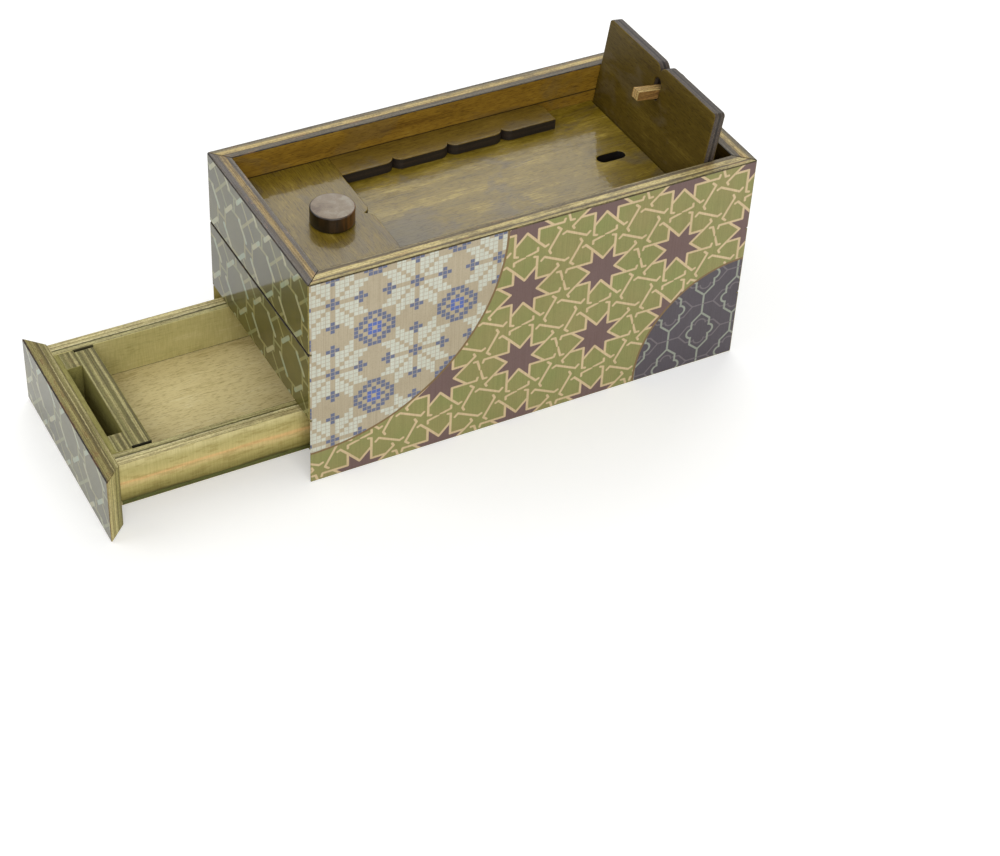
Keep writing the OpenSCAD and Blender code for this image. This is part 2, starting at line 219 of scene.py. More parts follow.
def board(
    name, node, outline, plane, span, finishes, body="case", owner=0,
    faces=(0, 0), ease=0.35, kerfs=(), holes=(), place=None, seed=0.0
):
    """A sawn board: its outline is carried across its thickness, and drawn in by a quarter round
    at both faces. The round is 1 + 0.3 sin of the way along the edge times as deep, as sanding
    by hand leaves it. Each kerf (low, high, reach) pulls the outline's first coordinate in to
    within reach of the middle. owner gives the finish of each stretch of the edge; a hole has the
    finish of the outline's first stretch."""
    loops = [np.asarray(outline, float), *holes]
    points = np.vstack(loops)
    normal = np.vstack([outward(loop) for loop in loops])
    way = np.cumsum(np.linalg.norm(np.roll(points, -1, 0) - points, axis=1))
    worn = 1 + 0.3 * np.sin(way / 5.3 + seed) * np.sin(way / 17.0 + 2 * seed)
    quarter = np.linspace(0, math.pi / 2, 5)
    inset = ease * (1 - np.sin(quarter))
    rise = ease * (1 - np.cos(quarter))
    levels = np.concatenate([span[0] + rise, span[1] - rise[::-1]])
    insets = np.concatenate([inset, inset[::-1]])
    reach = np.full(len(levels), 1e6)
    for low, high, limit in kerfs:
        levels = np.concatenate([levels, [low - 0.01, low, high, high + 0.01]])
        insets = np.concatenate([insets, np.zeros(4)])
        reach = np.concatenate([reach, [1e6, limit, limit, 1e6]])
    order = np.argsort(levels, kind="stable")
    levels, insets, reach = levels[order], insets[order], reach[order]
    rings = points[None] - normal[None] * (insets[:, None] * worn[None])[..., None]
    past = np.abs(rings[..., 0]) - reach[:, None]
    rings[..., 0] -= np.sign(rings[..., 0]) * np.maximum(past, 0) * 0.98
    count, across = len(levels), len(points)
    vertices = np.empty((count, across, 3))
    first, second, third = PLANES[plane]
    vertices[..., first], vertices[..., second] = rings[..., 0], rings[..., 1]
    vertices[..., third] = levels[:, None]
    starts = np.cumsum([0] + [len(loop) for loop in loops])
    ahead = np.concatenate([start + np.roll(np.arange(len(loop)), -1) for loop, start in zip(loops, starts)])
    owner = np.broadcast_to(owner, len(loops[0]))
    owner = np.concatenate([owner, np.full(across - len(owner), owner[0])])
    edge_finish = np.repeat(owner[None], count - 1, 0)
    edge_finish[:4], edge_finish[-4:] = faces[0], faces[1]
    caps = face_loops(loops)
    bottom = [cap[::-1].tolist() for cap in caps]
    top = [(cap + (count - 1) * across).tolist() for cap in caps]
    cap_finish = [faces[0]] * len(caps) + [faces[1]] * len(caps)
    return add_mesh(
        name, vertices.reshape(-1, 3), quads_between(count, ahead) + bottom + top, finishes,
        np.concatenate([edge_finish.ravel(), cap_finish]), body, [node] if node else [], place
    )


def batten(name, node, along, finishes, body="case", sides=(0, 0, 0, 0),
           faces=(0, 0), ease=0.3, seed=0.0):
    """A straight board that fills its node's box: a rectangle with eased corners carried along it.
    sides gives the finish of the rectangle's four edges, from its lowest corner round."""
    low, high = size_of(node)
    plane = {"x": "yz", "y": "zx", "z": "xy"}[along]
    first, second, third = PLANES[plane]
    corners = [(low[first], low[second]), (high[first], low[second]),
               (high[first], high[second]), (low[first], high[second])]
    outline, edge = eased_corners(corners, ease)
    return board(
        name, node, outline, plane, (low[third], high[third]), finishes, body,
        owner=np.array(sides)[edge], faces=faces, ease=ease, seed=seed
    )


def turned(name, centre, profile, finishes, ring_finish, body, replaced, place=None, around=96):
    """A turned piece: each profile point (radius, height) swept round the axis through centre, at
    radius x (cos, sin) of the angle. It is closed by one point at each end of the axis."""
    profile = np.asarray(profile, float)
    angle = np.arange(around) * 2 * math.pi / around
    rings = np.empty((len(profile), around, 3))
    rings[..., 0] = centre[0] + profile[:, :1] * np.cos(angle)
    rings[..., 1] = centre[1] + profile[:, :1] * np.sin(angle)
    rings[..., 2] = centre[2] + profile[:, 1:]
    ends = np.array([[*centre[:2], centre[2] + profile[0, 1]], [*centre[:2], centre[2] + profile[-1, 1]]])
    vertices = np.vstack([rings.reshape(-1, 3), ends])
    near, ahead = np.arange(around), np.roll(np.arange(around), -1)
    last = (len(profile) - 1) * around
    foot, crown = len(vertices) - 2, len(vertices) - 1
    foot_fan = np.stack([ahead, near, np.full(around, foot)], 1).tolist()
    crown_fan = np.stack([last + near, last + ahead, np.full(around, crown)], 1).tolist()
    piece = add_mesh(
        name, vertices, quads_between(len(profile), ahead) + foot_fan + crown_fan, finishes,
        np.concatenate([np.repeat(ring_finish, around), np.full(around, ring_finish[0]),
                        np.full(around, ring_finish[-1])]),
        body, replaced, place
    )
    piece.data.polygons.foreach_set("use_smooth", np.ones(len(piece.data.polygons), bool))
    return piece


# ---- finishes ----


def shade(red, green, blue):
    """A colour given as it looks, 0 to 255, turned into the linear colour that a shader takes."""
    level = np.array([red, green, blue]) / 255
    linear = np.where(level <= 0.04045, level / 12.92, ((level + 0.055) / 1.055) ** 2.4)
    return (*linear.tolist(), 1.0)


def math_step(operation):
    """A method that does one step of arithmetic."""
    return lambda self, *others: self.apply(operation, *others)


class Value:
    """A number worked out at every point of a surface, so that a pattern reads as plain arithmetic."""

    def __init__(self, tree, socket):
        self.tree, self.socket = tree, socket

    def apply(self, operation, *others, clamp=False):
        node = node_of(self.tree, "ShaderNodeMath", self, *others)
        node.operation, node.use_clamp = operation, clamp
        return Value(self.tree, node.outputs[0])

    __add__ = __radd__ = math_step("ADD")
    __sub__ = math_step("SUBTRACT")
    __mul__ = __rmul__ = __and__ = math_step("MULTIPLY")
    __truediv__ = math_step("DIVIDE")
    __abs__ = math_step("ABSOLUTE")
    __gt__, __lt__ = math_step("GREATER_THAN"), math_step("LESS_THAN")
    __or__ = most = math_step("MAXIMUM")
    least = math_step("MINIMUM")

    def __rsub__(self, other):
        return self.apply("MULTIPLY_ADD", -1.0, other)

    def fold(self, pitch):
        """Distance from the nearest whole number of pitches, with its sign."""
        return (self + pitch / 2).apply("FLOORED_MODULO", pitch) - pitch / 2

    def within(self, edge, soft=0.05):
        """1 where the number is below the edge, falling to 0 over a soft step."""
        return ((edge - self) * (1 / soft) + 0.5).apply("ADD", 0.0, clamp=True)

    def beyond(self, edge, soft=0.05):
        """1 where the number is above the edge, rising from 0 over a soft step."""
        return ((self - edge) * (1 / soft) + 0.5).apply("ADD", 0.0, clamp=True)


def plug(tree, item, socket):
    """Links a value or an output to a socket, or writes a number or a colour into it."""
    if isinstance(item, Value):
        tree.links.new(item.socket, socket)
    elif isinstance(item, bpy.types.NodeSocket):
        tree.links.new(item, socket)
    else:
        socket.default_value = shade(*item) if isinstance(item, tuple) else item


def node_of(tree, kind, *items):
    """A new node whose inputs take these items in turn. None leaves an input as it is."""
    node = tree.nodes.new(kind)
    for item, socket in zip(items, node.inputs):
        if item is not None:
            plug(tree, item, socket)
    return node


def from_middle(a, b):
    """Distance of the point (a, b) from the middle: the root of a squared plus b squared."""
    return (a * a + b * b).apply("SQRT")


def strap_group():
    """Node group that gives the distance from a point to a straight stretch of strap: the length of
    (point - start) less that share of (end - start), held between 0 and 1, that lies nearest."""
    group = bpy.data.node_groups.new("strap distance", "ShaderNodeTree")
    for name in ("Point", "Start", "Run", "Scaled Run"):
        group.interface.new_socket(name, in_out="INPUT", socket_type="NodeSocketVector")
    group.interface.new_socket("Distance", in_out="OUTPUT", socket_type="NodeSocketFloat")
    inside, outside = group.nodes.new("NodeGroupInput"), group.nodes.new("NodeGroupOutput")

    def step(operation, *items, result="Vector"):
        node = node_of(group, "ShaderNodeVectorMath", *items)
        node.operation = operation
        return node.outputs[result]

    point, start, run, scaled_run = inside.outputs[:4]
    away = step("SUBTRACT", point, start)
    share = node_of(group, "ShaderNodeClamp", step("DOT_PRODUCT", away, scaled_run, result="Value"))
    nearest = step("SCALE", run, None, None, share.outputs[0])
    plug(group, step("LENGTH", step("SUBTRACT", away, nearest), result="Value"), outside.inputs[0])
    return group


STRAP = strap_group()


class Finish:
    """A material in the making. Its point is the place on the board in millimetres: x and y in the
    board's own directions after the turn about z, measured from the origin."""

    def __init__(self, name, origin=(0, 0, 0), turn=(0, 0, 0), grain="xyz"):
        self.material = bpy.data.materials.new(name)
        self.material.use_nodes = True
        self.tree = self.material.node_tree
        self.tree.nodes.clear()
        place = self.node("ShaderNodeMapping")
        place.vector_type = "TEXTURE"
        place.inputs["Location"].default_value = [value * MM for value in origin]
        place.inputs["Rotation"].default_value = turn
        place.inputs["Scale"].default_value = (MM, MM, MM)
        plug(self.tree, self.node("ShaderNodeTexCoord").outputs["Object"], place.inputs["Vector"])
        parts = self.node("ShaderNodeSeparateXYZ", place.outputs[0])
        self.x, self.y, self.z = (Value(self.tree, socket) for socket in parts.outputs)
        self.along, self.across, self.depth = (getattr(self, letter) for letter in grain)
        self.board = self.node("ShaderNodeCombineXYZ", self.along, self.across, self.depth)

    def node(self, kind, *items):
        return node_of(self.tree, kind, *items)

    def noise(self, along, across, depth=None, detail=2.0, seed=0.0, rough=0.55, warp=0.0):
        """Cloudy pattern from 0 to 1 whose patches are that many millimetres long, wide and deep. They are
        as deep as they are wide unless the depth is given."""
        scaled = self.node("ShaderNodeVectorMath", self.board.outputs[0])
        scaled.operation = "MULTIPLY_ADD"
        scaled.inputs[1].default_value = (1 / along, 1 / across, 1 / (depth or across))
        scaled.inputs[2].default_value = (seed * 3.1, seed * 7.7, seed * 1.9)
        clouds = self.node("ShaderNodeTexNoise", scaled.outputs[0])
        for item, amount in (("Scale", 1.0), ("Detail", detail), ("Roughness", rough), ("Distortion", warp)):
            clouds.inputs[item].default_value = amount
        return Value(self.tree, clouds.outputs["Fac"])

    def strap(self, point, start, end):
        """Distance from the point to the straight stretch from start to end."""
        run = (end[0] - start[0], end[1] - start[1])
        square = run[0] ** 2 + run[1] ** 2
        node = self.node("ShaderNodeGroup")
        node.node_tree = STRAP
        plug(self.tree, point, node.inputs["Point"])
        node.inputs["Start"].default_value = (*start, 0)
        node.inputs["Run"].default_value = (*run, 0)
        node.inputs["Scaled Run"].default_value = (run[0] / square, run[1] / square, 0)
        return Value(self.tree, node.outputs[0])

    def straps(self, point, stretches):
        """Distance from the point to the nearest of several stretches."""
        nearest = self.strap(point, *stretches[0])
        for start, end in stretches[1:]:
            nearest = nearest.least(self.strap(point, start, end))
        return nearest

    def point(self, across, up):
        return self.node("ShaderNodeCombineXYZ", across, up).outputs[0]

    def blend(self, kind, way, share, first, second):
        node = self.node("ShaderNodeMix", share)
        node.data_type, node.blend_type = kind, way
        start, result = {"FLOAT": (2, 0), "RGBA": (6, 2)}[kind]
        plug(self.tree, first, node.inputs[start])
        plug(self.tree, second, node.inputs[start + 1])
        return node.outputs[result]

    def mix(self, share, first, second):
        """The first colour where share is 0, the second where it is 1."""
        return self.blend("RGBA", "MIX", share, first, second)

    def multiply(self, share, colour, tint):
        """The colour darkened by the tint where share is 1."""
        return self.blend("RGBA", "MULTIPLY", share, colour, tint)

    def choose(self, share, first, second):
        """The first number where share is 0, the second where it is 1."""
        return Value(self.tree, self.blend("FLOAT", "MIX", share, first, second))

    def ramp(self, value, stops, how="EASE"):
        """Colours that follow each other as the value goes from 0 to 1. Each stop is a position and its
        red, green and blue."""
        node = self.node("ShaderNodeValToRGB", value)
        node.color_ramp.interpolation = how
        steps = node.color_ramp.elements
        while len(steps) < len(stops):
            steps.new(0.5)
        for step, (position, *colour) in zip(steps, stops):
            step.position, step.color = position, shade(*colour)
        return node.outputs[0]

    def surface(self, colour, rough, height, coat=0.0, coat_rough=0.1, shine=0.5, coat_index=1.5):
        """Closes the material: height is the relief in millimetres."""
        shader = self.node("ShaderNodeBsdfPrincipled")
        plug(self.tree, colour, shader.inputs["Base Color"])
        plug(self.tree, rough, shader.inputs["Roughness"])
        for item, amount in (("Specular IOR Level", shine), ("Coat Weight", coat),
                             ("Coat Roughness", coat_rough), ("Coat IOR", coat_index)):
            shader.inputs[item].default_value = amount
        relief = self.node("ShaderNodeBump")
        relief.inputs["Distance"].default_value = MM
        plug(self.tree, height, relief.inputs["Height"])
        plug(self.tree, relief.outputs[0], shader.inputs["Normal"])
        if coat > 0:
            plug(self.tree, relief.outputs[0], shader.inputs["Coat Normal"])
        self.node("ShaderNodeOutputMaterial", shader.outputs[0])
        return self.material


def birch_figure(work, seed):
    """Birch veneer from 0, dark, to 1, pale: drifting bands, fine streaks, and a mottled stain."""
    bands = work.noise(90, 8, detail=4, seed=seed, warp=0.8, rough=0.6)
    streaks = work.noise(17, 0.6, detail=4, seed=seed + 3, rough=0.62)
    mottle = work.noise(15, 8, detail=5, seed=seed + 6, rough=0.66, warp=0.4)
    flecks = work.noise(2.6, 0.4, detail=2, seed=seed + 9)
    return bands * 0.44 + streaks * 0.24 + mottle * 0.36 + flecks * 0.2 - 0.12


def pores(work, seed):
    """Short dark pores along the grain: 1 in a pore, 0 elsewhere."""
    return work.noise(2.6, 0.3, detail=2, seed=seed + 11).beyond(0.6, 0.12)


def lacquered(name, seed, tones=((68, 54, 6), (126, 106, 28), (184, 162, 76)), turn=(0, 0, 0),
              origin=(0, 0, 0), grain="xyz", coat=0.42, coat_rough=0.06, shine=0.2, seam=None, smoke=0.5,
              dark_patch=None, ripple=0.1):
    """Birch veneer stained olive-brown under a satin lacquer, in three tones from dark to pale. Fine
    fibres and pores run with the grain, smoky patches drift across it, and seam is the level of a dark
    glue line. A dark_patch (along, across, radius) is one darker, greyer patch, and the ripple is how far the
    lacquer swells, in millimetres."""
    work = Finish(name, origin, turn, grain)
    dark, middle, pale = tones
    figure = birch_figure(work, seed)
    colour = work.ramp(figure, [(0.28, *dark), (0.5, *middle), (0.72, *pale)])
    fibre = work.noise(6, 0.28, detail=3, seed=seed + 17, rough=0.7)
    colour = work.multiply(fibre.beyond(0.5, 0.22) * 0.5, colour, (196, 182, 150))
    smoky = work.noise(26, 15, detail=5, seed=seed + 20, rough=0.62, warp=0.6)
    colour = work.mix(smoky.beyond(0.585, 0.08) * smoke, colour, (98, 86, 62))
    # one darker, greyer patch round the given point, its edge broken up by the smoky pattern
    if dark_patch:
        away_x, away_y = work.along - dark_patch[0], work.across - dark_patch[1]
        away = from_middle(away_x, away_y) / dark_patch[2] + (smoky - 0.5) * 2.4
        colour = work.mix(away.within(1.0, 0.9) * 0.75, colour, (92, 84, 62))
    amber = work.noise(19, 7, detail=4, seed=seed + 24, rough=0.6)
    colour = work.mix(amber.within(0.4, 0.1) * 0.4, colour, tuple(0.8 * value for value in middle))
    pore = pores(work, seed)
    colour = work.multiply(pore * 0.55, colour, (140, 118, 84))
    if seam is not None:
        colour = work.mix(abs(work.across - seam).within(0.28, 0.2) * 0.85, colour, (34, 24, 8))
    rough = 0.4 + amber * 0.2
    swell = work.noise(9, 7, detail=3, seed=seed + 27) * ripple
    height = work.noise(30, 0.7, detail=2, seed=seed + 3) * 0.012 + smoky * 0.05 - pore * 0.01 + swell
    return work.surface(colour, rough, height, coat=coat, coat_rough=coat_rough, shine=shine)


def bare_wood(name, seed, tones=((112, 100, 44), (150, 138, 78), (182, 172, 112)), turn=(0, 0, 0),
              grain="xyz", shine=0.25):
    """Bare birch: the same figure without lacquer, in three tones from dark to pale."""
    work = Finish(name, (0, 0, 0), turn, grain)
    dark, middle, pale = tones
    figure = birch_figure(work, seed)
    colour = work.ramp(figure, [(0.28, *dark), (0.5, *middle), (0.74, *pale)])
    pore = pores(work, seed)
    colour = work.multiply(pore * 0.5, colour, (168, 150, 112))
    rough = 0.62 + work.noise(6, 3, detail=2, seed=seed + 12) * 0.25
    height = work.noise(24, 0.6, detail=2, seed=seed + 3) * 0.03 - pore * 0.03
    return work.surface(colour, rough, height, shine=shine)


def sawn_side(name, seed):
    """Outer face of the drawer's sides: washed-out olive with upright saw marks, a tan streak halfway
    up and a dark foot."""
    work = Finish(name, (0, 0, DRAWER_FOOT), FRONT_TURN, "xzy")
    figure = birch_figure(work, seed)
    drift = work.noise(30, 8, detail=3, seed=seed + 4) - 0.5
    level = (work.across + drift * 3.0) / (DRAWER_TOP - DRAWER_FOOT)
    colour = work.ramp(level, [
        (0.0, 84, 78, 34), (0.08, 140, 130, 72), (0.3, 182, 168, 106),
        (0.42, 212, 190, 132), (0.5, 226, 188, 130), (0.58, 204, 188, 126),
        (0.78, 192, 180, 120), (1.0, 214, 202, 148)
    ])
    colour = work.multiply((1.0 - figure) * 0.4, colour, (208, 206, 162))
    marks = work.noise(0.45, 7, 3, detail=3, seed=seed + 15, rough=0.7)
    colour = work.multiply(marks.beyond(0.5, 0.2) * 0.26, colour, (196, 190, 150))
    streak = work.noise(7, 1.6, detail=4, seed=seed + 16, rough=0.65)
    colour = work.multiply(streak.beyond(0.55, 0.1) * 0.3, colour, (176, 160, 104))
    return work.surface(colour, 0.7, marks * 0.03 + streak * 0.02, shine=0.25)


def side_lining(name, seed):
    """Inner face of the drawer's sides, with a scorched joint where the cross wall stands."""
    work = Finish(name, (0, 0, 0), FRONT_TURN, "xzy")
    figure = birch_figure(work, seed)
    colour = work.ramp(figure, [(0.3, 146, 138, 80), (0.5, 186, 176, 118), (0.7, 206, 196, 144)])
    marks = work.noise(0.45, 7, 3, detail=3, seed=seed + 15, rough=0.7)
    colour = work.multiply(marks.beyond(0.5, 0.2) * 0.25, colour, (196, 190, 150))
    low, high = size_of("drawer_cross_wall")
    joint = abs(work.along - (low[0] + high[0]) / 2).within((high[0] - low[0]) / 2 + 0.2, 0.3)
    colour = work.mix(joint * 0.9, colour, (34, 32, 16))
    return work.surface(colour, 0.7, marks * 0.03, shine=0.25)


def ply_edge(name, seed, thickness, layers, turn=(0, 0, 0), origin=(0, 0, 0), grain="xyz", coat=0.12,
             wander=0.3, wear=0.45, stain=0.0, half=None, relief=0.03):
    """Edge of a plywood board: each layer (share of the thickness, colour) has its own colour, and
    the glue lines wander. Streaks, end-grain speckle and worn patches break the layers up; stain
    adds a rusty smear along part of the edge. Depth is measured from the outer face, and half is
    half the board's length where mitres end it: their dark joint lies at |along| + depth = half."""
    work = Finish(name, origin, turn, grain)
    drift = (work.noise(22, 9, detail=3, seed=seed) - 0.5) * wander * 2
    fray = (work.noise(2.2, 1.2, detail=3, seed=seed + 1, rough=0.7) - 0.5) * wander * 2.4
    share = (work.depth + drift + fray) / thickness
    colour = work.ramp(share, layers, how="LINEAR")
    patch = work.noise(9, 2.6, detail=4, seed=seed + 8, rough=0.65)
    colour = work.mix(patch.beyond(0.54, 0.07) * wear, colour, (104, 92, 70))
    colour = work.mix(patch.within(0.37, 0.06) * (wear * 0.6), colour, (190, 142, 92))
    streak = work.noise(26, 0.4, detail=3, seed=seed + 2)
    speckle = work.noise(0.8, 0.4, detail=2, seed=seed + 4)
    colour = work.multiply(streak.beyond(0.52, 0.14) * 0.6, colour, (150, 136, 106))
    colour = work.multiply(speckle.beyond(0.56, 0.2) * 0.5, colour, (150, 136, 112))
    if stain > 0:
        rust = work.noise(7, 1.6, detail=4, seed=seed + 10, rough=0.7).beyond(0.56, 0.1)
        colour = work.mix(rust * share.within(0.42, 0.1) * stain, colour, (116, 68, 28))
    if half is not None:
        joint = abs(abs(work.along) + work.depth - half).within(0.2, 0.12)
        colour = work.mix(joint * 0.9, colour, (26, 20, 12))
    rough = 0.5 + speckle * 0.25
    height = (streak + speckle) * relief
    return work.surface(colour, rough, height, coat=coat, coat_rough=0.25, shine=0.35)


def top_edge(name, seed, node, layers, **wear):
    """Upper edge of a board that stands across the drawer, its plies counted from the drawer's end."""
    low, high = size_of(node)
    return ply_edge(name, seed, high[0] - low[0], layers, LEFT_TURN, (low[0], 0, 0), "xzy", coat=0, **wear)


# ---- printed patterns ----

# middles (across, up) and pitches of the printed nets, and the middle and radius of each printed disc
STAR_MIDDLE, STAR_PITCH = (-5.6, 59.4), (32.3, 30.65)
TILE_MIDDLE, TILES_IN_BLOCK = (-64.8, 62.8), 18
LATTICE_MIDDLE, LATTICE_HALF = (73.7, 15.1), (14.06, 13.1)
TILE_DISC, LATTICE_DISC = ((-89.0, 89.4), 76.4), ((89.2, 1.0), 44.4)
MAUVE_MIDDLE, MAUVE_PITCH = (-74.7, 63.6), (25.6, 23.8)
TEAL_MIDDLE, TEAL_PITCH = (-8.6, 44.2), (20.9, 22.2)
TEAL_DISC = ((1.9, 1.0), 66.0)
OCTAGON_MIDDLE, OCTAGON_PITCH = (5.0, 44.4), 24.6


def star_field(work, across, up, pitch_x, pitch_z, half=0.0155):
    """Eight-pointed stars on a square net, tied by woven straps. The cell is folded to an eighth
    with the larger distance first. weave is 1 in every other eighth, where the straps that run
    under are cut short, so that they pass over and under by turns.
    Gives the strap and the star as 0 or 1."""
    cell_x = across.fold(pitch_x) / pitch_x
    cell_z = up.fold(pitch_z) / pitch_z
    side_x, side_z = abs(cell_x), abs(cell_z)
    far, near = side_x.most(side_z), side_x.least(side_z)
    weave = ((cell_x * cell_z) * (side_x - side_z)) > 0.0
    place = work.point(far, near)
    notch, corner, cross = (0.165, 0.0), (0.146, 0.146), (0.33, 0.146)
    bend, middle = (0.458, 0.146), (0.5, 0.0)
    elbow, ring_corner, ring_top = (0.4265, 0.238), (0.362, 0.362), (0.5, 0.291)
    both = [(corner, cross), (notch, cross)]
    over = [((0.415, 0.146), bend), (bend, middle), (cross, elbow), (elbow, (0.408, 0.274)),
            (ring_corner, ring_top)]
    under = [(cross, bend), (bend, (0.47, 0.105)), ((0.385, 0.199), elbow), (elbow, ring_corner),
             ((0.456, 0.314), ring_top)]
    shared = work.straps(place, both)
    nearest = work.choose(weave, work.straps(place, under), work.straps(place, over)).least(shared)
    strap = nearest.within(half, 0.006)
    star = near.within(corner[1], 0.008) & (near - (far - notch[0]) * 0.91).beyond(0.0, 0.008)
    return strap, star


def mosaic(work, across, up, tile_x, tile_z):
    """Square tiles in blocks of 18: folded tile numbers a and b from a rosette's middle tell which
    colour a tile has. Rings of blue, small crosses, and plain lobes between them on pale tiles."""
    number_x = (across / tile_x + 0.5).apply("FLOOR")
    number_z = (up / tile_z + 0.5).apply("FLOOR")
    a, b = abs(number_x.fold(TILES_IN_BLOCK)), abs(number_z.fold(TILES_IN_BLOCK))
    high, low = a.most(b), a.least(b)
    total = a + b
    ring = (total > 3.5) & (total < 5.5) & (high < 4.5)
    tips = (total > 1.5) & (total < 2.5) & (low < 0.5)
    core = (high > 0.5) & (high < 1.5)
    cross = ((abs(high - 9.0) + abs(low - 3.0)) < 1.5) | ((abs(high - 9.0) + abs(low - 9.0)) < 1.5)
    lobe = (high > 4.5) & (low < (high - 3.4).least(3.6))
    plain = (high < 4.5) | lobe | ((high > 8.5) & (low > 4.5) & (low < 7.5))
    plain = plain | ((abs(high - low) < 0.5) & (high < 8.5))
    joint_x = abs((across / tile_x).fold(1.0))
    joint_z = abs((up / tile_z).fold(1.0))
    joint = joint_x.most(joint_z).beyond(0.42, 0.06)
    tan, cream = (184, 171, 144), (208, 211, 196)
    colour = work.mix(plain, cream, tan)
    colour = work.mix(cross | ring | tips, colour, (104, 112, 138))
    colour = work.mix(core, colour, (88, 110, 180))
    blue = cross | ring | tips | core
    return work.mix(joint & (blue | (1.0 - plain)) * 0.7, colour, (184, 170, 146))


def lobed_lattice(work, across, up, half_x, half_z):
    """Upright bars that fork round lobed medallions, over the same figure laid on its side. The net
    is folded to the triangle about a medallion whose sum of scaled sides is below 1."""
    side_x = abs(across.fold(half_x * 2)) / half_x
    side_z = abs(up.fold(half_z * 2)) / half_z
    flip = (side_x + side_z) > 1.0
    a = work.choose(flip, side_x, 1.0 - side_x)
    b = work.choose(flip, side_z, 1.0 - side_z)
    place = work.point(a, b)
    upright = [((0, 1), (0, 0.667)), ((0, 0.667), (0.28, 0.405)), ((0.28, 0.405), (0.28, 0.19))]
    lying = [((1, 0), (0.667, 0)), ((0.667, 0), (0.42, 0.29)), ((0.42, 0.29), (0.22, 0.31))]
    lobe_up = abs(from_middle(a - 0.25, b) - 0.165) + (a.within(0.24, 0.01) * 1.0)
    lobe_flat = abs(from_middle(b - 0.27, a) - 0.165) + (b.within(0.26, 0.01) * 1.0)
    bright = work.straps(place, upright).least(lobe_up).within(0.03, 0.015)
    dull = work.straps(place, lying).least(lobe_flat).within(0.022, 0.015)
    colour = work.mix(dull * 0.55, (81, 74, 81), (136, 128, 130))
    return work.mix(bright * 0.9, colour, (158, 164, 150))


def woven_hexagons(work, across, up, pitch_x, pitch_z, notch, leg, hook, tail):
    """Six-pointed figures tied by bent straps, on a net of triangles. The point is folded to a
    twelfth of the cell, with the neighbour straight up at distance 1. From the notch a strap runs at
    30 degrees to the upright for the leg's length and bends outwards by 60 degrees in a short tail;
    a hook runs back from the notch on the other side. What crosses a fold goes on in the next twelfth.
    Gives the strap distance, the distance from the middle, and that from the cell's corner."""
    root = math.sqrt(3)
    x, z = across / pitch_x, up / pitch_z
    first_x, first_z = x.fold(root), z.fold(1.0)
    second_x, second_z = (x + root / 2).fold(root), (z + 0.5).fold(1.0)
    nearer = (first_x * first_x + first_z * first_z) > (second_x * second_x + second_z * second_z)
    x, z = work.choose(nearer, first_x, second_x), work.choose(nearer, first_z, second_z)
    side = abs(x)
    height = abs(z)
    # fold the sixty degrees beside the level line up across the line at 30 degrees
    lean = height - side / root
    fold = lean < 0.0
    turned_x = side * 0.5 + height * (root / 2)
    turned_z = side * (root / 2) - height * 0.5
    folded_x = work.choose(fold, side, turned_x)
    folded_z = work.choose(fold, height, turned_z)
    # and then across the line at 60 degrees
    slope = folded_z - folded_x * root
    second = slope < 0.0
    mirror_x = folded_z * (root / 2) - folded_x * 0.5
    mirror_z = folded_x * (root / 2) + folded_z * 0.5
    a = work.choose(second, folded_x, mirror_x)
    b = work.choose(second, folded_z, mirror_z)
    swaps = (x * z) * (fold * -2.0 + 1.0) * (second * -2.0 + 1.0)
    weave = swaps > 0.0
    place = work.point(a, b)
    start = (0.0, notch)
    rise = (0.5 - notch) / (root / 2)
    edge = (rise / 2, 0.5)
    run = (1 / root - rise) / 2
    side_point = (edge[0] + run / 2, 0.5 - run * root / 2)
    knee = (side_point[0] - max(0.002, leg - rise - run), side_point[1])
    tip = (knee[0] - tail / 2, knee[1] + tail * root / 2)
    full = [(start, edge), (side_point, knee), (knee, tip)]
    other = [(edge, side_point), (start, (hook / 2, notch + hook * root / 2))]
    nearest = work.choose(weave, work.straps(place, other), work.straps(place, full))
    return nearest, a, b, from_middle(a - 0.5 / root, b - 0.5)


def linked_octagons(work, across, up, pitch):
    """Octagon rings on a square net, tied by short bars: the cell is folded to an eighth, larger
    distance first. In every other eighth the ring's upright side runs past its corner, in the
    others its slanting side does, so the rings look woven. Gives thick and thin straps."""
    cell_x, cell_z = across.fold(pitch) / pitch, up.fold(pitch) / pitch
    side_x, side_z = abs(cell_x), abs(cell_z)
    far, near = side_x.most(side_z), side_x.least(side_z)
    weave = ((cell_x * cell_z) * (side_x - side_z)) > 0.0
    place = work.point(far, near)
    corner, middle = (0.36, 0.149), (0.2545, 0.2545)
    slant = work.straps(place, [(corner, middle), (corner, (0.41, 0.099))])
    slant_short = work.strap(place, (0.333, 0.176), middle)
    upright = work.straps(place, [((0.36, 0.0), corner), (corner, (0.36, 0.215))])
    upright_short = work.strap(place, (0.36, 0.0), (0.36, 0.115))
    thick = work.choose(weave, slant_short, slant)
    thin = work.choose(weave, upright, upright_short)
    bars = work.straps(place, [((0.36, 0.0), (0.5, 0.0)), ((0.30, 0.30), (0.5, 0.5))])
    return thick.within(0.036, 0.012), thin.least(bars).within(0.024, 0.012)


